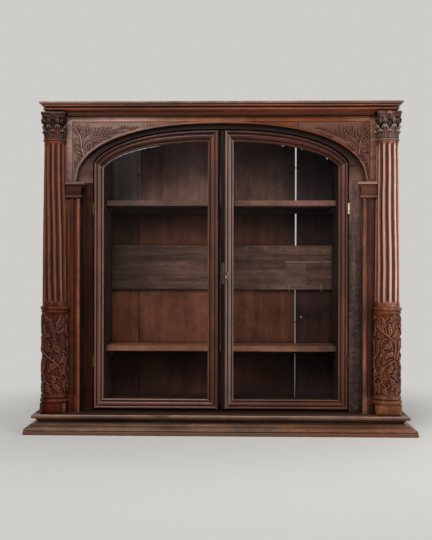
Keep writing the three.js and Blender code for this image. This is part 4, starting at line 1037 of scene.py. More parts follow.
def oak(name, tones, grain, shift, rough=(0.3, 0.46), carved_work=False, grime_and_shade=0.75, wear=0.5,
        gloss_level=0.22, fade=None, drift=None, shaded_face=None, streaks=0.8, unevenness=0.4, painted_sheen=1.0):
    """Oak that was planed or carved, stained, waxed and handled for a century: long pores, a slow figure of
    growth rings, darker wax and dirt in the corners and hollows together with painted shade there, and
    paler rubbed edges and ridges that also carry a painted highlight, as strong as the painted sheen. Pores
    are really 0.3 mm wide and are drawn coarser, so that they show. A fade along Z and a drift along X
    multiply the finished colour, as pairs of a place in millimetres and a share or a colour; on some pieces
    they are the wood's tone, on others painted light and shade."""
    middle = colour(tones)
    deep_shares = (1 + (share - 1) * streaks for share in (0.36, 0.3, 0.28))
    deep = tuple(share * value for share, value in zip(deep_shares, middle)) + (1.0,)
    pale = tuple((1 + 0.75 * streaks) * value for value in middle[:3]) + (1.0,)
    # The worn colour is paler by wear and greyer by a painted highlight, as strong as the painted sheen
    worn = tuple(1.6 * value + painted_sheen * wax for value, wax in zip(middle, (0.036, 0.032, 0.028))) + (1.0,)
    material, tree = new_material(name)
    place = node(tree, "TexCoord").outputs["Object"]
    moved = node(tree, "Mapping", {"Location": shift}, Vector=place).outputs["Vector"]
    along = node(tree, "Mapping", {"Scale": stretches[grain]}, Vector=moved).outputs["Vector"]
    figure = node(tree, "TexNoise", {"Scale": figure_scale, "Detail": 5.0, "Roughness": 0.55,
                                     "Distortion": 0.6}, Vector=along).outputs["Fac"]
    rings = node(tree, "TexNoise", {"Scale": ring_scale, "Detail": 3.0, "Roughness": 0.5}, Vector=along)
    pores = node(tree, "TexNoise", {"Scale": pore_scale, "Detail": 2.0, "Roughness": 0.6}, Vector=along)
    patina = node(tree, "TexNoise", {"Scale": patina_scale, "Detail": 7.0, "Roughness": 0.74}, Vector=moved)
    both = node(tree, "Math", {"operation": "MULTIPLY_ADD", 1: 0.35}, _0=rings.outputs["Fac"],
                _2=figure).outputs[0]
    base = ramp(tree, both, [(0.46, deep), (0.67, middle), (0.9, pale)])
    pore_mask = ramp(tree, pores.outputs["Fac"], [(0.36, 1.0), (0.47, 0.0)])
    pore_share = node(tree, "Math", {"operation": "MULTIPLY", 1: 0.62 * streaks}, _0=pore_mask).outputs[0]
    dark = tuple(0.3 * value for value in deep[:3]) + (1.0,)
    base = node(tree, "Mix", blended | {7: dark}, _0=pore_share, _6=base).outputs[2]
    blotch = ramp(tree, patina.outputs["Fac"], [(0.34, 0.5), (0.52, 1.0), (0.72, 1.45)])
    base = node(tree, "Mix", multiplied, _6=base, _7=blotch).outputs[2]
    # Painted shade: ambient occlusion darkens corners, recesses and hollows towards a near-black, for old
    # wax and dirt and for the shade that falls there
    corner_reach = carved_corner_reach if carved_work else plain_corner_reach
    corner = node(tree, "AmbientOcclusion", {"samples": 8, "Distance": corner_reach})
    grime_and_shade_share = ramp(tree, corner.outputs["AO"], [(0.35, grime_and_shade), (0.85, 0.0)])
    if carved_work:
        hollow = node(tree, "Attribute", {"attribute_name": "hollow"}).outputs["Fac"]
        grime_and_shade_share = node(tree, "Math", {"operation": "MAXIMUM", "use_clamp": True}, _0=grime_and_shade_share,
                    _1=hollow).outputs[0]
    grime_and_shade_colour = tuple(0.22 * value for value in deep[:3]) + (1.0,)
    base = node(tree, "Mix", blended | {7: grime_and_shade_colour}, _0=grime_and_shade_share, _6=base).outputs[2]
    # Rubbed edges and ridges take the worn colour: real wear, and with it the painted highlight
    edge = node(tree, "AmbientOcclusion", {"samples": 8, "inside": True, "Distance": rubbed_edge_reach})
    rubbed = ramp(tree, edge.outputs["AO"], [(0.1, wear), (0.62, 0.0)])
    if carved_work:
        ridge = node(tree, "Math", {"operation": "MULTIPLY", 1: -wear}, _0=hollow).outputs[0]
        rubbed = node(tree, "Math", {"operation": "MAXIMUM", "use_clamp": True}, _0=rubbed,
                      _1=ridge).outputs[0]
    base = node(tree, "Mix", blended | {7: worn}, _0=rubbed, _6=base).outputs[2]
    spot = node(tree, "SeparateXYZ", Vector=place)
    for axis, stops in (("Z", fade), ("X", drift)):
        if not stops:
            continue
        along_axis = node(tree, "MapRange", {"From Min": stops[0][0] * MM, "From Max": stops[-1][0] * MM},
                          Value=spot.outputs[axis]).outputs[0]
        span = stops[-1][0] - stops[0][0]
        share = ramp(tree, along_axis, [((level - stops[0][0]) / span, value) for level, value in stops])
        # A shaded face: the painted shade lies only on the piece's front, up to that Y
        if shaded_face is not None:
            unshaded = node(tree, "Math", {"operation": "GREATER_THAN", 1: shaded_face * MM + face_plane},
                           _0=spot.outputs["Y"]).outputs[0]
            share = node(tree, "Mix", {"data_type": "RGBA", 7: (1.0, 1.0, 1.0, 1.0)}, _0=unshaded,
                         _6=share).outputs[2]
        base = node(tree, "Mix", multiplied, _6=base, _7=share).outputs[2]
    gloss = node(tree, "MapRange", {"To Min": rough[0], "To Max": rough[1]},
                 Value=patina.outputs["Fac"]).outputs[0]
    gloss = node(tree, "Math", {"operation": "MULTIPLY_ADD", 1: 0.18}, _0=pore_mask, _2=gloss).outputs[0]
    gloss = node(tree, "Math", {"operation": "MULTIPLY_ADD", 1: 0.35}, _0=grime_and_shade_share, _2=gloss).outputs[0]
    uneven = node(tree, "TexNoise", {"Scale": plane_scale, "Detail": 2.0}, Vector=moved).outputs["Fac"]
    relief = node(tree, "Math", {"operation": "MULTIPLY_ADD", 1: -0.5}, _0=pore_mask, _2=both).outputs[0]
    fine = node(tree, "Bump", {"Strength": 0.35, "Distance": 0.0006}, Height=relief).outputs[0]
    bump = node(tree, "Bump", {"Strength": unevenness, "Distance": 0.0016 + 0.004 * (unevenness > 0.5)},
                Height=uneven, Normal=fine).outputs[0]
    surface = node(tree, "BsdfPrincipled", {"IOR": 1.5, "Specular IOR Level": gloss_level},
                   Roughness=gloss, Normal=bump)
    tree.links.new(base, surface.inputs["Base Color"])
    node(tree, "OutputMaterial", Surface=surface.outputs[0])
    return material


# Noise scales of the other materials, per metre: tarnish 4 mm across, lumps of 6 mm in the putty, and
# waves in the glass 110 mm wide and three times as tall
tarnish_scale = 240.0
lump_scale = 160.0
glass_wave_scale = 9.0


def old_metal(name, tone, rough, bare_share=1.0):
    """Old brass, iron or steel, cast, pressed or drawn and left to tarnish: dull brown spots with its own
    colour between them. The bare share is what its oxide leaves uncovered."""
    material, tree = new_material(name)
    place = node(tree, "TexCoord").outputs["Object"]
    spots = node(tree, "TexNoise", {"Scale": tarnish_scale, "Detail": 4.0, "Roughness": 0.7}, Vector=place)
    base = ramp(tree, spots.outputs["Fac"], [(0.35, colour("#3B2A18")), (0.6, colour(tone))])
    gloss = node(tree, "MapRange", {"To Min": rough + 0.15, "To Max": rough - 0.08},
                 Value=spots.outputs["Fac"]).outputs[0]
    bump = node(tree, "Bump", {"Strength": 0.2, "Distance": 0.0003}, Height=spots.outputs["Fac"])
    surface = node(tree, "BsdfPrincipled", {"Metallic": bare_share}, Roughness=gloss,
                   Normal=bump.outputs[0])
    tree.links.new(base, surface.inputs["Base Color"])
    node(tree, "OutputMaterial", Surface=surface.outputs[0])
    return material


def new_putty(name):
    """Linseed putty, pressed in by thumb and dried pale: matt, with grey lumps in it."""
    material, tree = new_material(name)
    place = node(tree, "TexCoord").outputs["Object"]
    lumps = node(tree, "TexNoise", {"Scale": lump_scale, "Detail": 3.0}, Vector=place).outputs["Fac"]
    base = ramp(tree, lumps, [(0.35, colour("#7C8288")), (0.65, colour("#D5DADB"))])
    bump = node(tree, "Bump", {"Strength": 0.5, "Distance": 0.0005}, Height=lumps).outputs[0]
    surface = node(tree, "BsdfPrincipled", {"Roughness": 0.7}, Normal=bump)
    tree.links.new(base, surface.inputs["Base Color"])
    node(tree, "OutputMaterial", Surface=surface.outputs[0])
    return material


def sheet_glass(name):
    """Drawn sheet glass: clear, barely green, with slow waves in it that bend what it mirrors.
    Light goes straight through it, so the shelves behind are lit as they are in the open. Only the
    face that a ray enters by mirrors."""
    material, tree = new_material(name)
    place = node(tree, "TexCoord").outputs["Object"]
    long = node(tree, "Mapping", {"Scale": (1, 1, 0.3)}, Vector=place).outputs["Vector"]
    waves = node(tree, "TexNoise", {"Scale": glass_wave_scale, "Detail": 1.0}, Vector=long).outputs["Fac"]
    bump = node(tree, "Bump", {"Strength": 0.25, "Distance": 0.004}, Height=waves).outputs[0]
    clear = node(tree, "BsdfTransparent", {"Color": colour("#F4F7F5")})
    mirror = node(tree, "BsdfGlossy", {"Roughness": 0.02, "Color": colour("#FFFFFF")}, Normal=bump)
    mirrored = node(tree, "Fresnel", {"IOR": 1.25}, Normal=bump).outputs[0]
    inside = node(tree, "NewGeometry").outputs["Backfacing"]
    outside = node(tree, "Math", {"operation": "SUBTRACT", 0: 1.0}, _1=inside).outputs[0]
    share = node(tree, "Math", {"operation": "MULTIPLY"}, _0=mirrored, _1=outside).outputs[0]
    mixed = node(tree, "MixShader", _0=share, _1=clear.outputs[0], _2=mirror.outputs[0])
    node(tree, "OutputMaterial", Surface=mixed.outputs[0])
    return material


# How light the back planks are painted at each height in millimetres: painted shade in the bottom bay and
# under the upper shelf, and a bluish painted reflection above the upper shelf
middle_plank_painted_shade = [(78, 0.17), (236, 0.2), (262, 0.72), (440, 0.68), (590, 0.42), (690, (0.2, 0.24, 0.28)),
               (726, (0.88, 1.3, 1.8)), (900, (0.48, 0.8, 1.25))]
left_plank_painted_shade = [(78, 0.18), (236, 0.2), (262, 0.7), (440, 0.65), (590, 0.26), (690, (0.18, 0.22, 0.26)),
             (726, (0.6, 1.3, 2.1)), (900, (0.7, 1.7, 3.0))]
right_plank_painted_shade = [(78, (0.26, 0.3, 0.34)), (236, (0.28, 0.32, 0.36)), (262, 0.42), (440, 0.38), (590, 0.28),
              (690, (0.22, 0.27, 0.3)), (726, (0.46, 0.64, 0.76)), (900, (0.33, 0.5, 0.65))]

# The arch board: greyer on the left, a painted sheen for the soft light that it reflects there, and greyer
# at its right end, a darker orange length of oak in between, and painted lighter in its top rail than
# beside the carving, for the light that falls there. The cornice is painted dark in the shade along its
# foot and pale with a painted highlight along its top
rail_painted_light = [(940, 0.52), (950, 0.52), (958, 0.8), (976, 0.8)]
board_tone_and_sheen = [(-515, (1.22, 2.1, 3.85)), (-300, (1.45, 2.45, 4.0)), (-110, (1.0, 1.15, 1.2)),
               (-60, (0.95, 0.9, 0.85)), (100, (0.72, 0.55, 0.36)), (370, (0.72, 0.57, 0.4)),
               (440, (0.98, 1.3, 1.55)), (515, (0.98, 1.3, 1.6))]
cornice_painted_light = [(976, (0.24, 0.14, 0.06)), (985, (0.3, 0.19, 0.08)), (990, (0.85, 0.72, 0.66)),
                (1003, (0.85, 0.72, 0.66)), (1010, (1.1, 2.0, 2.9)), (1016, (1.1, 2.0, 2.9))]

# Uprights and shelves, across their width. The right shaft is painted darker on its inner side and lighter
# on its outer side, where the lamp on the right lights it, and each pilaster has a painted highlight along
# its inner bead and painted shade beside it
right_shaft_painted_light = [(478, (0.72, 0.62, 0.55)), (498, (0.85, 0.78, 0.72)), (520, 1.0), (535, 1.15),
                     (552, 1.15)]
left_pilaster_painted_light = [(-515, 1.0), (-460, 1.0), (-457, (0.55, 0.42, 0.36)), (-453, (0.55, 0.42, 0.36)),
                    (-451, 1.15), (-445, 1.15), (-443, (2.0, 2.6, 2.9)), (-439, (2.0, 2.6, 2.9))]
right_pilaster_painted_light = [(439, (1.2, 1.4, 1.6)), (442, (1.9, 2.6, 3.1)), (450, (1.9, 2.6, 3.0)),
                     (453, (0.9, 0.85, 0.8)), (464, (0.6, 0.5, 0.45)), (480, (0.8, 0.75, 0.7))]
low_shelf_drift = [(-367, 0.86), (0, 0.84), (367, (0.6, 0.7, 0.8))]
shelf_drift = [(-367, (0.4, 0.48, 0.6)), (-60, (0.6, 0.68, 0.8)), (60, (0.95, 1.0, 1.1)),
               (367, (0.82, 0.86, 0.95))]

# The base: its lowest band is darker than the moulding over it, and its right half is redder
foot_fade = [(0, (0.3, 0.19, 0.15)), (9.5, (0.3, 0.19, 0.15)), (11, 1.0), (33, 1.0)]
base_drift = [(-595, 1.0), (120, 1.0), (240, (1.1, 0.86, 0.72)), (540, (1.12, 0.86, 0.72)), (595, 1.0)]

# The back's planks and rail across, and the square blocks under the drums upwards
middle_drift = [(-275, 0.8), (-200, 1.0), (60, 1.0), (150, 0.75), (246, 0.5)]
plank_drift = [(-367, 0.48), (0, 1.1), (367, 1.2)]
left_block_fade = [(58, 0.62), (112, 0.62), (130, 1.0), (376, 1.0)]
right_block_fade = [(58, (0.95, 1.25, 1.5)), (112, (0.95, 1.25, 1.5)), (130, 1.0), (376, 1.0)]

# The recessed surround is painted darker in the arch's shadow and painted lighter in the lower corners of
# its head, where light reaches them, and, on the right, it is darker towards the floor
head_painted_light_and_shade = [(772, (3.5, 4.1, 4.4)), (803, (2.2, 2.5, 2.6)), (850, 0.6), (900, 0.4)]
jamb_fade = [(66, 0.35), (300, 0.42), (560, 0.75), (720, 1.0)]

# Looks of the wood: the colour it has where it is neither rubbed nor dirty nor painted in shade or
# highlight, and how it differs from the oak function's own values. The painted sheen is the grey of the
# painted highlight on the rubbed edges and ridges, strongest on the parts that the lamps catch
framed = {"rough": (0.24, 0.4), "grime_and_shade": 0.95}
moulded = {"carved_work": True, "grime_and_shade": 0.9, "wear": 0.55, "gloss_level": 0.16}
carved_oak = {"carved_work": True, "grime_and_shade": 0.9, "wear": 0.5, "gloss_level": 0.14, "rough": (0.24, 0.38)}
indoors = {"rough": (0.5, 0.7), "wear": 0.1, "gloss_level": 0.12}
shaded_planks = indoors | {"streaks": 0.4, "shaded_face": 197.0}
oak_looks = {
    "frame": ("#4D2211", framed | {"gloss_level": 0.18, "wear": 0.9, "painted_sheen": 6.0}),
    "left frame": ("#4D2211", framed | {"gloss_level": 0.18, "wear": 0.8, "painted_sheen": 4.0,
                                        "drift": left_pilaster_painted_light}),
    "left impost": ("#42211A", carved_oak | {"grime_and_shade": 1.0, "wear": 0.5, "painted_sheen": 2.5}),
    "right frame": ("#4B2518", framed | {"gloss_level": 0.2, "wear": 1.0, "painted_sheen": 4.0,
                                         "drift": right_pilaster_painted_light}),
    "right impost": ("#5A3628", carved_oak | {"grime_and_shade": 1.0, "wear": 0.55, "painted_sheen": 3.5}),
    "arch": ("#844D33", {"fade": rail_painted_light, "drift": board_tone_and_sheen, "gloss_level": 0.15, "wear": 0.1,
                         "streaks": 0.5, "painted_sheen": 0.3}),
    "dark frame": ("#200B04", {"gloss_level": 0.08}),
    "grey frame": ("#5A3E35", {"unevenness": 1.0, "rough": (0.42, 0.6), "streaks": 1.2, "fade": jamb_fade}),
    "arch shadow": ("#2E1B14", {"gloss_level": 0.1, "grime_and_shade": 0.95, "fade": head_painted_light_and_shade}),
    # Near-black oak as painted shade, for the narrow recess where the doors meet and the gaps between the
    # planks
    "recess": ("#1A0D09", {"gloss_level": 0.08, "wear": 0.2}),
    "door": ("#472416", moulded | {"rough": (0.24, 0.38), "painted_sheen": 4.0}),
    # Doors painted lit or bright carry a stronger painted highlight on their beads, where the lamps catch
    # them
    "painted lit door": ("#4F3429", moulded | {"wear": 0.9, "gloss_level": 0.25, "rough": (0.22, 0.34),
                                       "painted_sheen": 9.0}),
    "painted bright door": ("#4A1E11", moulded | {"rough": (0.22, 0.34), "wear": 0.9, "painted_sheen": 8.5}),
    "door head": ("#31130A", moulded | {"rough": (0.24, 0.38), "wear": 0.8, "painted_sheen": 1.5}),
    "cornice": ("#6A3822", moulded | {"fade": cornice_painted_light, "painted_sheen": 3.5}),
    "column left": ("#53240E", carved_oak | {"painted_sheen": 1.5}),
    # The right column carries the strongest painted highlight, and is painted lighter towards the lamp on
    # its right
    "column right": ("#6E3D28", carved_oak | {"gloss_level": 0.22, "wear": 0.75, "painted_sheen": 7.5,
                                              "drift": right_shaft_painted_light}),
    "drum left": ("#4E1C08", carved_oak | {"grime_and_shade": 1.0, "wear": 0.28, "painted_sheen": 3.5,
                                           "fade": left_block_fade}),
    "drum right": ("#623219", carved_oak | {"grime_and_shade": 1.0, "wear": 0.28, "painted_sheen": 3.5,
                                            "fade": right_block_fade}),
    "capital left": ("#33170C", carved_oak | {"grime_and_shade": 1.0, "wear": 0.7, "painted_sheen": 2.0}),
    "capital right": ("#482F24", carved_oak | {"grime_and_shade": 1.0, "wear": 0.8, "painted_sheen": 4.0}),
    # The left spandrel is greyer than the right: a painted sheen for the soft light that it reflects
    "spandrel left": ("#52362D", carved_oak | {"grime_and_shade": 1.0, "wear": 0.5, "painted_sheen": 2.0}),
    "spandrel right": ("#451E0E", carved_oak | {"grime_and_shade": 1.0, "wear": 0.5, "painted_sheen": 1.2}),
    "base": ("#563D2E", moulded | {"wear": 0.9, "rough": (0.3, 0.46), "painted_sheen": 5.5, "drift": base_drift,
                                  "fade": foot_fade}),
    "base top": ("#4A3022", moulded | {"wear": 0.9, "rough": (0.3, 0.46), "painted_sheen": 7.0}),
    "shelf upper": ("#87584A", {"wear": 0.7, "drift": shelf_drift}),
    "shelf lower": ("#8F5A46", {"wear": 0.7, "drift": low_shelf_drift}),
    "plank": ("#7D4837", shaded_planks | {"fade": middle_plank_painted_shade, "drift": middle_drift}),
    "left plank": ("#74402F", shaded_planks | {"fade": left_plank_painted_shade}),
    "right plank": ("#5E3A36", shaded_planks | {"fade": right_plank_painted_shade}),
    "grey plank": ("#543A32", indoors | {"streaks": 0.9, "drift": plank_drift}),
    "hidden": ("#35231B", indoors),
}


def oak_for(piece_name, look, grain, shift):
    """A piece's own oak, by one of the looks, with its figure moved by a shift in metres."""
    middle, options = oak_looks[look]
    return oak(f"waxed_oak_{piece_name}", middle, grain, shift, **options)


# The solids' finishes: name, or start of names, with the look and the way that the grain runs
solid_finishes = [
    ("base_lower_step", "base", "x"),
    ("base_upper_step", "base top", "x"),
    ("cornice_front", "cornice", "x"),
    ("cornice_return", "cornice", "y"),
    ("top_board", "frame", "x"),
    ("bottom_board", "hidden", "x"),
    ("side_", "frame", "z"),
    ("inner_side_", "hidden", "z"),
    ("back_plank_middle", "plank", "z"),
    ("back_plank_left", "left plank", "z"),
    ("back_plank_right", "right plank", "z"),
    ("back_rail", "grey plank", "x"),
    ("shelf_cleat", "hidden", "y"),
    ("shelf_ledger", "hidden", "x"),
    ("shelf_upper", "shelf upper", "x"),
    ("shelf_lower", "shelf lower", "x"),
    ("frame_stile_left", "left frame", "z"),
    ("frame_stile", "right frame", "z"),
    ("impost_left", "left impost", "x"),
    ("impost", "right impost", "x"),
    ("surround_jamb_left", "dark frame", "z"),
    ("surround_jamb", "grey frame", "z"),
    ("surround_head", "arch shadow", "x"),
    ("arch_board", "arch", "x"),
    ("door_hinge_stile_left", "painted bright door", "z"),
    ("door_hinge_stile", "door", "z"),
    ("door_bottom_rail_left", "painted bright door", "x"),
    ("door_meeting_stile_left", "door", "z"),
    ("door_meeting_stile_right", "painted lit door", "z"),
    ("door_head", "door head", "x"),
    ("door_bottom_rail", "door", "x"),
    ("column_", "drum left", "z"),
]


def wood_of(name, count):
    """A wooden solid's own oak, whose figure is moved by its place in the list of solids. None for a
    solid of glass or metal."""
    for start, look, grain in solid_finishes:
        if name.startswith(start):
            shift = (0.37 * count, 0.53 * count % 1.7, 0.71 * count % 2.3)
            return oak_for(name, look, grain, shift)
    return None


def dress_solids():
    """Gives every solid its own material: wood by name, and glass, brass or steel."""
    glass = sheet_glass("drawn_sheet_glass")
    brass = old_metal("tarnished_brass", "#5E4428", 0.45)
    rubbed_brass = old_metal("rubbed_pressed_brass", "#D9C9A6", 0.34, 0.6)
    key_brass = old_metal("handled_cast_brass", "#94784F", 0.28, 0.6)
    # The escutcheon's brass is painted near-black for the shade of the narrow recess between the doors that
    # it sits in
    shaded_brass = old_metal("sheet_brass_in_painted_shade", "#231C18", 0.5, 0.3)
    steel = old_metal("worn_steel", "#8B8278", 0.5)
    materials = {}
    for count, (name, thing) in enumerate(sorted(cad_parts.items())):
        if "glass" in name:
            material = glass
        elif name.startswith("escutcheon"):
            material = shaded_brass
        elif name.startswith(("hinge_", "door_bolt")):
            material = rubbed_brass if "right" in name and "upper" in name else brass
        elif name.startswith("key"):
            material = key_brass
        elif name.startswith("lock_"):
            material = steel
        else:
            material = wood_of(name, count)
        for slot in thing.material_slots:
            slot.material = material
        if not thing.material_slots:
            thing.data.materials.append(material)
        materials[name] = material
    return materials


materials = dress_solids()

sides = {"left": -1, "right": 1}


def both_oaks(piece, grain, shift):
    """The oak of a left and a right piece, its figure moved the other way along X on the left."""
    return {side: oak_for(f"{piece}_{side}", f"{piece} {side}", grain, (hand * shift[0], *shift[1:]))
            for side, hand in sides.items()}


column_oak = both_oaks("column", "z", (0.3, 0.1, 0.2))
drum_oak = both_oaks("drum", "z", (0.3, 0.1, 0.2))
capital_oak = both_oaks("capital", "z", (0.3, 0.1, 0.2))
spandrel_oak = both_oaks("spandrel", "x", (0.2, 0.4, 0.1))
# Painted shade: near-black oak for the door flats and the plank gaps
painted_shade_oak = oak_for("door_recess", "recess", "z", (0.6, 0.2, 0.5))

# What differs from side to side: the strokes, and how far a flute wanders round on its way down
drum_strokes = {"left": left_drum_strokes, "right": right_drum_strokes}
spandrel_strokes = {"left": left_spandrel_strokes, "right": right_spandrel_strokes}
flute_wander = {"left": 16.0, "right": 6.0}

for side, hand in sides.items():
    shell, dirt = pedestal(hand, drum_strokes[side], 11 + hand)
    thing = make(f"carved_pedestal_{side}", shell, "case", drum_oak[side], hollow=dirt)
    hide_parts(f"column_pedestal_{side}")
    shell, dirt = shaft(hand, flute_wander[side], 5 + hand)
    thing = make(f"fluted_shaft_{side}", shell, "case", column_oak[side], hollow=dirt)
    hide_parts(f"column_shaft_{side}")
    shell, dirt = capital(hand, 7 + hand)
    thing = make(f"leaf_capital_{side}", shell, "case", capital_oak[side], hollow=dirt)
    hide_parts(f"column_capital_{side}")
    shell, dirt = spandrel_relief(hand, spandrel_strokes[side])
    make(f"spandrel_foliage_{side}", shell, "case", spandrel_oak[side], hollow=dirt)


# Recesses in the doors for the hinges' barrels, the lock, the key and the bolt, as X, Y and Z ranges
hinge_recess_levels = ((191.0, 237.0), (669.0, 715.0))
bolt_slot = ((-20.8, -13.2), (33.7, 39.0), (60.0, 158.0))
cuts = {
    "left": {
        "hinge_stile": [((-402.5, -394.2), (12.2, 20.6), levels) for levels in hinge_recess_levels],
        "meeting_stile": [bolt_slot, ((-11.0, 0.0), (29.2, 34.8), (483.2, 495.8))],
        "bottom_rail": [bolt_slot],
    },
    "right": {
        "hinge_stile": [((394.2, 402.5), (12.2, 20.6), levels) for levels in hinge_recess_levels],
        "meeting_stile": [((0.0, 29.3), (25.7, 39.0), (459.2, 519.8)),
                          ((6.9, 10.1), (17.0, 30.0), (476.0, 483.8))],
    },
}
door_flat_rounding = 0.9
door_flat_inset = 0.6
door_flat_lap = 0.2


def add_doors():
    """The doors' mouldings, and the flats behind the lips where the doors meet, with the recesses that
    the lock, the bolts and the hinges sit in."""
    meetings = {"left": (left_moulding, lip_front), "right": (right_moulding, strip_front)}
    for side, hand in sides.items():
        moulding, front = meetings[side]
        shells = door_members(hand, moulding, 21 + hand)
        top = float(height_of(door_arch, moulding)) - door_flat_inset
        across = sorted((hand * meeting_edge, hand * (moulding + door_flat_lap)))
        flat = block_shell(across, (front, door_back), (door_floor + door_flat_inset, top),
                           door_flat_rounding)
        for name, (shell, dirt) in shells.items():
            thing = make(f"door_{name}_moulding_{side}", shell, f"{side}_door",
                         materials[f"door_{name}_{side}"], 50, hollow=dirt)
            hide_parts(f"door_{name}_{side}")
            if name in cuts[side]:
                cut_boxes(thing, cuts[side][name])
        # The flat is painted near-black for the shade in the gap between the doors
        thing = make(f"door_meeting_flat_{side}", flat, f"{side}_door", painted_shade_oak, 50)
        cut_boxes(thing, cuts[side]["meeting_stile"])


add_doors()

# Dents in the mouldings' edges, as the place along X, the width and the depth of each
cornice_dents = [(-120, 6, 1.2), (60, 10, 1.5), (160, 5, 1.0), (330, 7, 1.6), (-400, 8, 0.9)]
upper_step_dents = [(-178, 26, 6.0), (-300, 9, 1.5), (30, 12, 1.2), (250, 8, 1.6), (420, 12, 1.4)]
lower_step_dents = [(-350, 6, 2.0), (-322, 8, 2.4), (-270, 5, 1.8), (150, 7, 2.0), (205, 6, 2.4),
                    (262, 9, 2.0), (330, 6, 2.6), (372, 8, 2.0), (500, 10, 2.2)]
cut_margin = 5


def add_cornice():
    """Cornice over the front and sides, with room for the capitals' tops."""
    rings = moulded_run(cornice_section, cornice_overhang, case_top, cornice_height, 240, case_depth,
                        cornice_dents, 31)
    shell, dirt = closed_moulding(rings, case_half_width, case_top, cornice_height,
                                  section_dirt(cornice_section[:, 0], 0.045))
    thing = make("cornice_moulding", shell, "case", materials["cornice_front"], 50, hollow=dirt)
    room = block_half + capital_room
    over = capital_top + capital_room
    boxes = [(sorted((hand * (case_half_width - room), hand * (case_half_width + room + cut_margin))),
              (-room - cut_margin, room), (case_top - cut_margin, over)) for hand in sides.values()]
    cut_boxes(thing, boxes)
    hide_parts("cornice_front", "cornice_return_left", "cornice_return_right")


add_cornice()


# How much of a step's flat top is darkened, at its rubbed front and further back, and between which
# distances from the front edge the one turns into the other: dust and old wax, and further back the painted
# shade that lies under the doors and under the upper step
front_dirt_share = 0.12
top_dirt_and_shade_share = 1.0
rubbed_depths = {"lower": (6.0, 24.0), "upper": (22.0, 50.0)}

# The hole in the upper step that the left door's bolt drops into, as X, Y and Z ranges
bolt_hole = ((-20.8, -13.2), (33.4, 38.3), (45.0, 60.0))


def add_base():
    """Both steps of the base, with the upper one's chipped edge and its hole for the left door's bolt."""
    steps = {
        "lower": (0.0, lower_step_height, lower_step_overhang, lower_step_section, lower_step_dents, 41),
        "upper": (lower_step_height, upper_step_height, upper_step_overhang, upper_step_section,
                  upper_step_dents, 74),
    }
    for level, (floor, height, overhang, profile, step_dents, seed) in steps.items():
        rings = moulded_run(profile, overhang, floor, height, 300, case_depth, step_dents, seed)
        shell = stepped_board(rings)
        dirt = section_dirt(profile[:, 0], 0.05) + np.zeros((len(rings), 1))
        dirt[:, 0] = 0
        behind = rings[:, -1, 1] - rings[:, -1, 1].min()
        # The flat top is painted dark further back, as dirt and the shade under the doors and the step
        # above
        dirt[:, -1] = np.interp(behind, rubbed_depths[level], (front_dirt_share, top_dirt_and_shade_share))
        thing = make(f"base_moulding_{level}", shell, "case", materials[f"base_{level}_step"], 50,
                     hollow=dirt.ravel())
        if level == "upper":
            cut_boxes(thing, [bolt_hole])
        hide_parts(f"base_{level}_step")


def stepped_board(rings):
    """A board whose front and side edges are a moulding: the moulding's run, closed by a flat floor, a
    flat top and a flat back."""
    runs, count = rings.shape[:2]
    points = rings.reshape(-1, 3)
    moulding = grid_faces(runs, count, False)
    index = np.arange(runs * count).reshape(runs, count)
    half = (runs - 1) // 2
    strips = []
    for column in (0, count - 1):
        edge = index[:, column]
        left, right = edge[:half + 1], edge[::-1][:half + 1]
        strips.append(np.stack([left[:-1], right[:-1], right[1:], left[1:]], axis=1))
    back = np.stack([index[0, :-1], index[0, 1:], index[-1, 1:], index[-1, :-1]], axis=1)
    return points, orient(points, moulding, strips, back)


def orient(points, moulding, strips, back):
    """Turns each group of a board's faces outward: the moulding and the back away from the middle, the
    floor down and the top up."""
    groups = []
    centre = points - (points.min(axis=0) + points.max(axis=0)) / 2
    for block, down in ((moulding, None), (strips[0], -1), (strips[1], 1), (back, None)):
        a, b, c = (centre[block[:, i]] for i in (0, 1, 2))
        normals = np.cross(b - a, c - a)
        if down is None:
            facing = np.einsum("ij,ij->i", normals, (a + b + c) * (1, 1, 0)).sum()
        else:
            facing = (normals[:, 2] * down).sum()
        groups.append(block[:, ::-1] if facing < 0 else block)
    return groups


add_base()


# Imposts
impost_section = section([
    [(0.0, 0.0), (0.0, 0.04)],
    [(4.5, 0.05), (6.6, 0.1), (6.6, 0.17), (4.0, 0.22)],
    [(1.5, 0.24), (2.2, 0.27)],
    [(3.0, 0.66)],
    [(5.0, 0.68), (6.2, 0.74), (9.0, 0.8), (12.5, 0.85)],
    [(14.0, 0.86), (14.5, 0.98)],
    [(13.6, 1.0)],
])
impost_foot = 720.2
impost_height = 51.6
impost_inner = 436.5
impost_outer = 481.0
impost_front = 5.6


def impost(side):
    """A moulded block: each ring is a rectangle on the frame's face, further out to the front and to the
    arch's side by the section there."""
    out = impost_section[:, :1]
    z = impost_foot + impost_height * impost_section[:, 1:]
    corner, back_set, front_share = 0.8, 0.2, 0.92
    front = -(impost_front + front_share * out)
    inner = impost_inner - out
    back = np.full_like(out, -back_set)
    outer = np.full_like(out, impost_outer)
    x = np.concatenate([outer, outer, inner + corner, inner, inner], axis=1)
    y = np.concatenate([back, front, front, front + corner, back], axis=1)
    dirt = section_dirt(out, 3.0) + 0 * x
    return ring_shell(np.stack([side * x, y, z + 0 * x], axis=2)), dirt.ravel()


for side, hand in sides.items():
    shell, dirt = impost(hand)
    thing = make(f"impost_moulding_{side}", shell, "case", materials[f"impost_{side}"], 30,
                 hollow=dirt)
    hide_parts(f"impost_{side}")


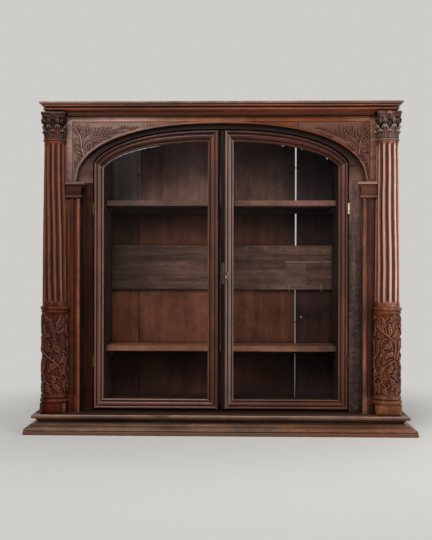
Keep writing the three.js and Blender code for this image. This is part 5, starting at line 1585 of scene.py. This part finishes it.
# Small things: repairs, marks, hooks, nails
def tube(path, radius, around_count=10):
    """A round wire along a path: rings square to the path, turned from the X axis, which the path
    never follows."""
    line = np.asarray(path, dtype=float)
    run = np.gradient(line, axis=0)
    run /= np.linalg.norm(run, axis=1, keepdims=True)
    across = np.cross(run, (1.0, 0.0, 0.0))
    across /= np.linalg.norm(across, axis=1, keepdims=True)
    third = np.cross(run, across)
    turn = np.arange(around_count) * math.tau / around_count
    spread = np.cos(turn)[:, None] * across[:, None] + np.sin(turn)[:, None] * third[:, None]
    return ring_shell(line[:, None] + radius * spread)


def dome(centre, radius, height):
    """A round nail head that faces the front: a quarter circle turned about Y."""
    around_count = 16
    crown_radius = 0.02
    turn = np.arange(around_count) * math.tau / around_count
    rise = np.linspace(0, 1, 6)[:, None] * math.pi / 2
    out = radius * np.cos(rise) + crown_radius
    y = centre[1] - height * np.sin(rise) + 0 * turn
    return ring_shell(np.stack([centre[0] + out * np.cos(turn), y, centre[2] + out * np.sin(turn)], axis=2))


rail_front = 184.0
plank_front = 196.0
iron = old_metal("rusted_wrought_iron", "#2A2522", 0.6)
hook_brass = old_metal("drawn_brass_hook", "#EBC47C", 0.4, 0.3)
pale_metal = old_metal("tinned_pin", "#FFFAF0", 0.5, 0.0)
putty = new_putty("dried_linseed_putty")

# Cup hooks, as X and Z, and their wire's bends, as the way forward of the rail and down from the hook
hook_places = [(224.9, 449.0), (330.9, 449.0)]
hook_bends = [(-6, 0), (1, 0), (6, 1.5), (8, 7), (7.5, 13), (4.5, 16.5), (1.8, 14)]
hook_radius = 1.1
for count, (x, z) in enumerate(hook_places):
    path = smooth_line([(x, rail_front - forward, z - down) for forward, down in hook_bends], 6)
    make(f"cup_hook_{count + 1}", tube(path, hook_radius), "case", hook_brass)

# Staples in the gaps between the planks, as X, Z and half their length, and a pin
staple_places = [(-276.0, 818.0, 5.0), (248.0, 841.0, 7.0), (248.0, 327.0, 7.0), (248.0, 213.0, 6.0)]
staple_rise = 1.6
staple_sink = 0.4
staple_rounding = 0.5
staples = [block_shell((x - half, x + half), (plank_front - staple_rise, plank_front + staple_sink),
                       (z - staple_rise, z + staple_rise), staple_rounding)
           for x, z, half in staple_places]
make("gap_staples", joined(staples), "case", iron)
pin_place = (265.8, plank_front + 0.1, 343.8)
pin_radius = 2.3
pin_height = 1.6
make("plank_pin", dome(pin_place, pin_radius, pin_height), "case", pale_metal)

# Tongues that close part of the gaps between the planks, as X, Y and Z ranges
tongue_ranges = [
    ((-277.6, -274.4), (203, 208), (58.4, 722)),
    ((-277.6, -276.1), (203, 208), (722, 975.6)),
    ((247.2, 250.8), (199, 204), (240, 440)),
    ((246.6, 250.8), (199, 204), (58.4, 240)),
]
tongue_rounding = 0.1
tongues = [block_shell(*ranges, tongue_rounding) for ranges in tongue_ranges]
# The tongues are painted near-black for the shade in the gaps
make("plank_gap_tongues", joined(tongues), "case", painted_shade_oak)

# Repairs and marks, as X, Y and Z ranges, the rounding and the oak
repairs = {
    "rail_repair_strip": ((-64, 78), (-0.35, 1.0), (958.5, 975.4), 0.3, {
        "name": "patched_oak_rail_repair", "tones": "#67371B", "shift": (0.1, 0.9, 0.3), "streaks": 0.6,
        "wear": 0.2}),
    "rail_paler_patch": ((214.8, 281.2), (rail_front - 0.2, rail_front + 1), (441, 523.5), 0.1, {
        "name": "scraped_oak_patch", "tones": "#5C4136", "shift": (0.9, 0.4, 0.6), "rough": (0.5, 0.7),
        "streaks": 0.6, "wear": 0.1}),
    "rail_scratch": ((211.4, 366.0), (rail_front - 0.3, rail_front + 1), (526.4, 527.8), 0.1, {
        "name": "scratched_oak_rail", "tones": "#A08C7C", "shift": (0.9, 0.4, 0.6), "rough": (0.5, 0.7),
        "streaks": 1.0, "wear": 0.1}),
}
for name, (x, y, z, rounding, finish) in repairs.items():
    make(name, block_shell(x, y, z, rounding), "case", oak(grain="x", **finish))

# Iron caps over the hinge pins' ends: the hinges' X and Y, and from which height to which each one goes
hinge_axis = (398.25, 16.4)
finial_radius = 2.5
finial_levels = ((191.6, 197.0), (231.0, 236.4), (669.6, 675.0), (709.0, 714.4))
for side, hand in sides.items():
    finials = []
    for low, high in finial_levels:
        path = [(hand * hinge_axis[0], hinge_axis[1], level) for level in np.linspace(low, high, 5)]
        finials.append(tube(path, finial_radius, 12))
    make(f"hinge_finials_{side}", joined(finials), "case", iron)

# How far behind the frame's front the putty's thread lies
putty_depth = 27.6


def putty_glint_line(start, end, seed):
    """A pale thread of putty along the glass's arched edge, made pale and thick enough to stand also for
    the glint of light along that edge, a painted glint: thick and thin by a ripple and thinning to its
    ends: rings of four points at each X."""
    steps = 80
    ripple_length = 9.0
    under_edge, above, below = 0.6, 1.2, 2.4
    in_front, behind = 0.25, 0.3
    x = np.linspace(start, end, steps)
    share = np.sin(math.pi * np.linspace(0.02, 0.98, steps)) ** 0.5
    half = share * (0.5 + 0.6 * np.clip(ripple(x, 0 * x, ripple_length, seed), 0, 1))
    z = height_of(glass_arch, x) - under_edge
    y = np.full_like(x, putty_depth)
    low, high, near, far = z - below * half, z + above, y - in_front, y + behind
    corners = [(near, low), (far, low), (far, high), (near, high)]
    return ring_shell(np.stack([np.column_stack([x, depth, level]) for depth, level in corners], axis=1))


make("putty_glint_line_left", putty_glint_line(-373.0, -190.0, 5), "left_door", putty)
flecks = [putty_glint_line(190, 199, 6), putty_glint_line(250, 256, 7), putty_glint_line(328, 336, 8)]
make("putty_glint_flecks_right", joined(flecks), "right_door", putty)


# Floor, world, lights and camera, all in metres. The floor fades into the backdrop between two
# distances, and a mirror sees it dark in front of that Y
backdrop_colour = colour("#CFCDC9")
fade_start = 0.4
fade_end = 1.3
mirrored_dark_from = -0.2

# Where a mirror comes to see the backdrop: from one Y on the floor to another, and from one share of a
# ray's direction along Y to another. Before that it sees the unlit share of it
floor_turn = (-1.2, 0.0)
world_turn = (0.1, 0.9)
unlit_share = 0.04


def seen_backdrop(tree, y, turn):
    """The share of a ray that meets the pale backdrop: all of what the camera sees or sees through
    glass, and what a mirror sees, but for the unlit side of the room in front of the cabinet."""
    rays = node(tree, "LightPath")
    behind = node(tree, "MapRange", {"From Min": turn[0], "From Max": turn[1], "To Min": unlit_share,
                                     "To Max": 1.0}, Value=y).outputs[0]
    glossy = node(tree, "Math", {"operation": "MULTIPLY"}, _0=behind,
                  _1=rays.outputs["Is Glossy Ray"]).outputs[0]
    seen = node(tree, "Math", {"operation": "MAXIMUM"}, _0=rays.outputs["Is Camera Ray"],
                _1=rays.outputs["Is Transmission Ray"]).outputs[0]
    return node(tree, "Math", {"operation": "MAXIMUM"}, _0=seen, _1=glossy).outputs[0]


def add_floor():
    """A pale floor that takes the cabinet's shadow and fades into the world's colour far from it."""
    reach = 9.0
    corners = [(-reach, -reach, 0), (reach, -reach, 0), (reach, reach, 0), (-reach, reach, 0)]
    mesh = bpy.data.meshes.new("studio_floor")
    mesh.from_pydata(corners, [], [(0, 1, 2, 3)])
    floor = bpy.data.objects.new("studio_floor", mesh)
    bpy.context.scene.collection.objects.link(floor)
    material, tree = new_material("pale_painted_floor")
    place = node(tree, "TexCoord").outputs["Object"]
    away = node(tree, "VectorMath", {"operation": "LENGTH"}, _0=place).outputs["Value"]
    far = node(tree, "MapRange", {"From Min": fade_start, "From Max": fade_end,
                                  "interpolation_type": "SMOOTHSTEP"}, Value=away).outputs[0]
    depth = node(tree, "SeparateXYZ", Vector=place).outputs["Y"]
    share = node(tree, "Math", {"operation": "MULTIPLY"}, _0=far,
                 _1=seen_backdrop(tree, depth, floor_turn)).outputs[0]
    front = node(tree, "Math", {"operation": "LESS_THAN", 1: mirrored_dark_from}, _0=depth).outputs[0]
    unlit = node(tree, "Math", {"operation": "MULTIPLY"}, _0=front,
                 _1=node(tree, "LightPath").outputs["Is Glossy Ray"]).outputs[0]
    paint = node(tree, "Mix", {"data_type": "RGBA", 6: colour("#BDBBB7"), 7: colour("#303030")},
                 _0=unlit).outputs[2]
    diffuse = node(tree, "BsdfDiffuse", Color=paint)
    plain = node(tree, "Emission", {"Color": backdrop_colour, "Strength": 1.0})
    mixed = node(tree, "MixShader", _0=share, _1=diffuse.outputs[0], _2=plain.outputs[0])
    node(tree, "OutputMaterial", Surface=mixed.outputs[0])
    floor.data.materials.append(material)


def add_world():
    """The camera, mirrors and clear glass see the pale backdrop; wood is lit by a dimmer even sky.
    Mirrors that face the side of the room where the lamps stand see it dark."""
    world = bpy.data.worlds.new("studio_world")
    bpy.context.scene.world = world
    world.use_nodes = True
    tree = world.node_tree
    tree.nodes.clear()
    direction = node(tree, "TexCoord").outputs["Generated"]
    depth = node(tree, "SeparateXYZ", Vector=direction).outputs["Y"]
    share = seen_backdrop(tree, depth, world_turn)
    sky = node(tree, "Background", {"Color": colour("#FFFFFF"), "Strength": 0.15})
    plain = node(tree, "Background", {"Color": backdrop_colour, "Strength": 1.0})
    mixed = node(tree, "MixShader", _0=share, _1=sky.outputs[0], _2=plain.outputs[0])
    node(tree, "OutputWorld", Surface=mixed.outputs[0])


def add_lamp(name, place, target, width, height, power):
    """A soft box at a place, turned to face a target."""
    data = bpy.data.lights.new(name, "AREA")
    data.shape = "RECTANGLE"
    data.size = width
    data.size_y = height
    data.energy = power
    lamp = bpy.data.objects.new(name, data)
    bpy.context.scene.collection.objects.link(lamp)
    aim = Vector(target) - Vector(place)
    lamp.rotation_euler = aim.to_track_quat("-Z", "Y").to_euler()
    lamp.location = place


# The camera's place, its turn and roll in degrees, and its lens and sensor in millimetres
camera_place = (0.045, -2.565, 0.500)
camera_turn = 1.34
camera_roll = 0.12
camera_lens = 53.77
camera_sensor = 36


def add_camera():
    """The photograph's camera: 2.5 m in front, half a metre up, looking level."""
    data = bpy.data.cameras.new("photo_camera")
    data.lens = camera_lens
    data.sensor_width = camera_sensor
    data.sensor_fit = "AUTO"
    camera = bpy.data.objects.new("photo_camera", data)
    bpy.context.scene.collection.objects.link(camera)
    camera.matrix_world = (Matrix.Translation(camera_place)
                           @ Matrix.Rotation(math.radians(camera_turn), 4, "Z")
                           @ Matrix.Rotation(math.radians(90), 4, "X")
                           @ Matrix.Rotation(math.radians(camera_roll), 4, "Z"))
    bpy.context.scene.camera = camera


add_floor()
add_world()

# Name, place, target, width, height and power in watts
lamp_target = (0.0, 0.0, 0.5)
lamps = [
    ("key_light", (-0.4, -1.9, 2.3), lamp_target, 1.0, 1.0, 56),
    ("left_light", (-1.8, -2.3, 1.6), lamp_target, 1.0, 1.0, 29),
    ("right_light", (1.6, -1.0, 0.8), (0.4, 0.0, 0.5), 1.3, 1.5, 32),
    ("back_light", (1.0, 3.0, 2.2), lamp_target, 2.0, 2.0, 26),
]
for lamp in lamps:
    add_lamp(*lamp)
add_camera()
bpy.context.scene.view_settings.view_transform = "Standard"
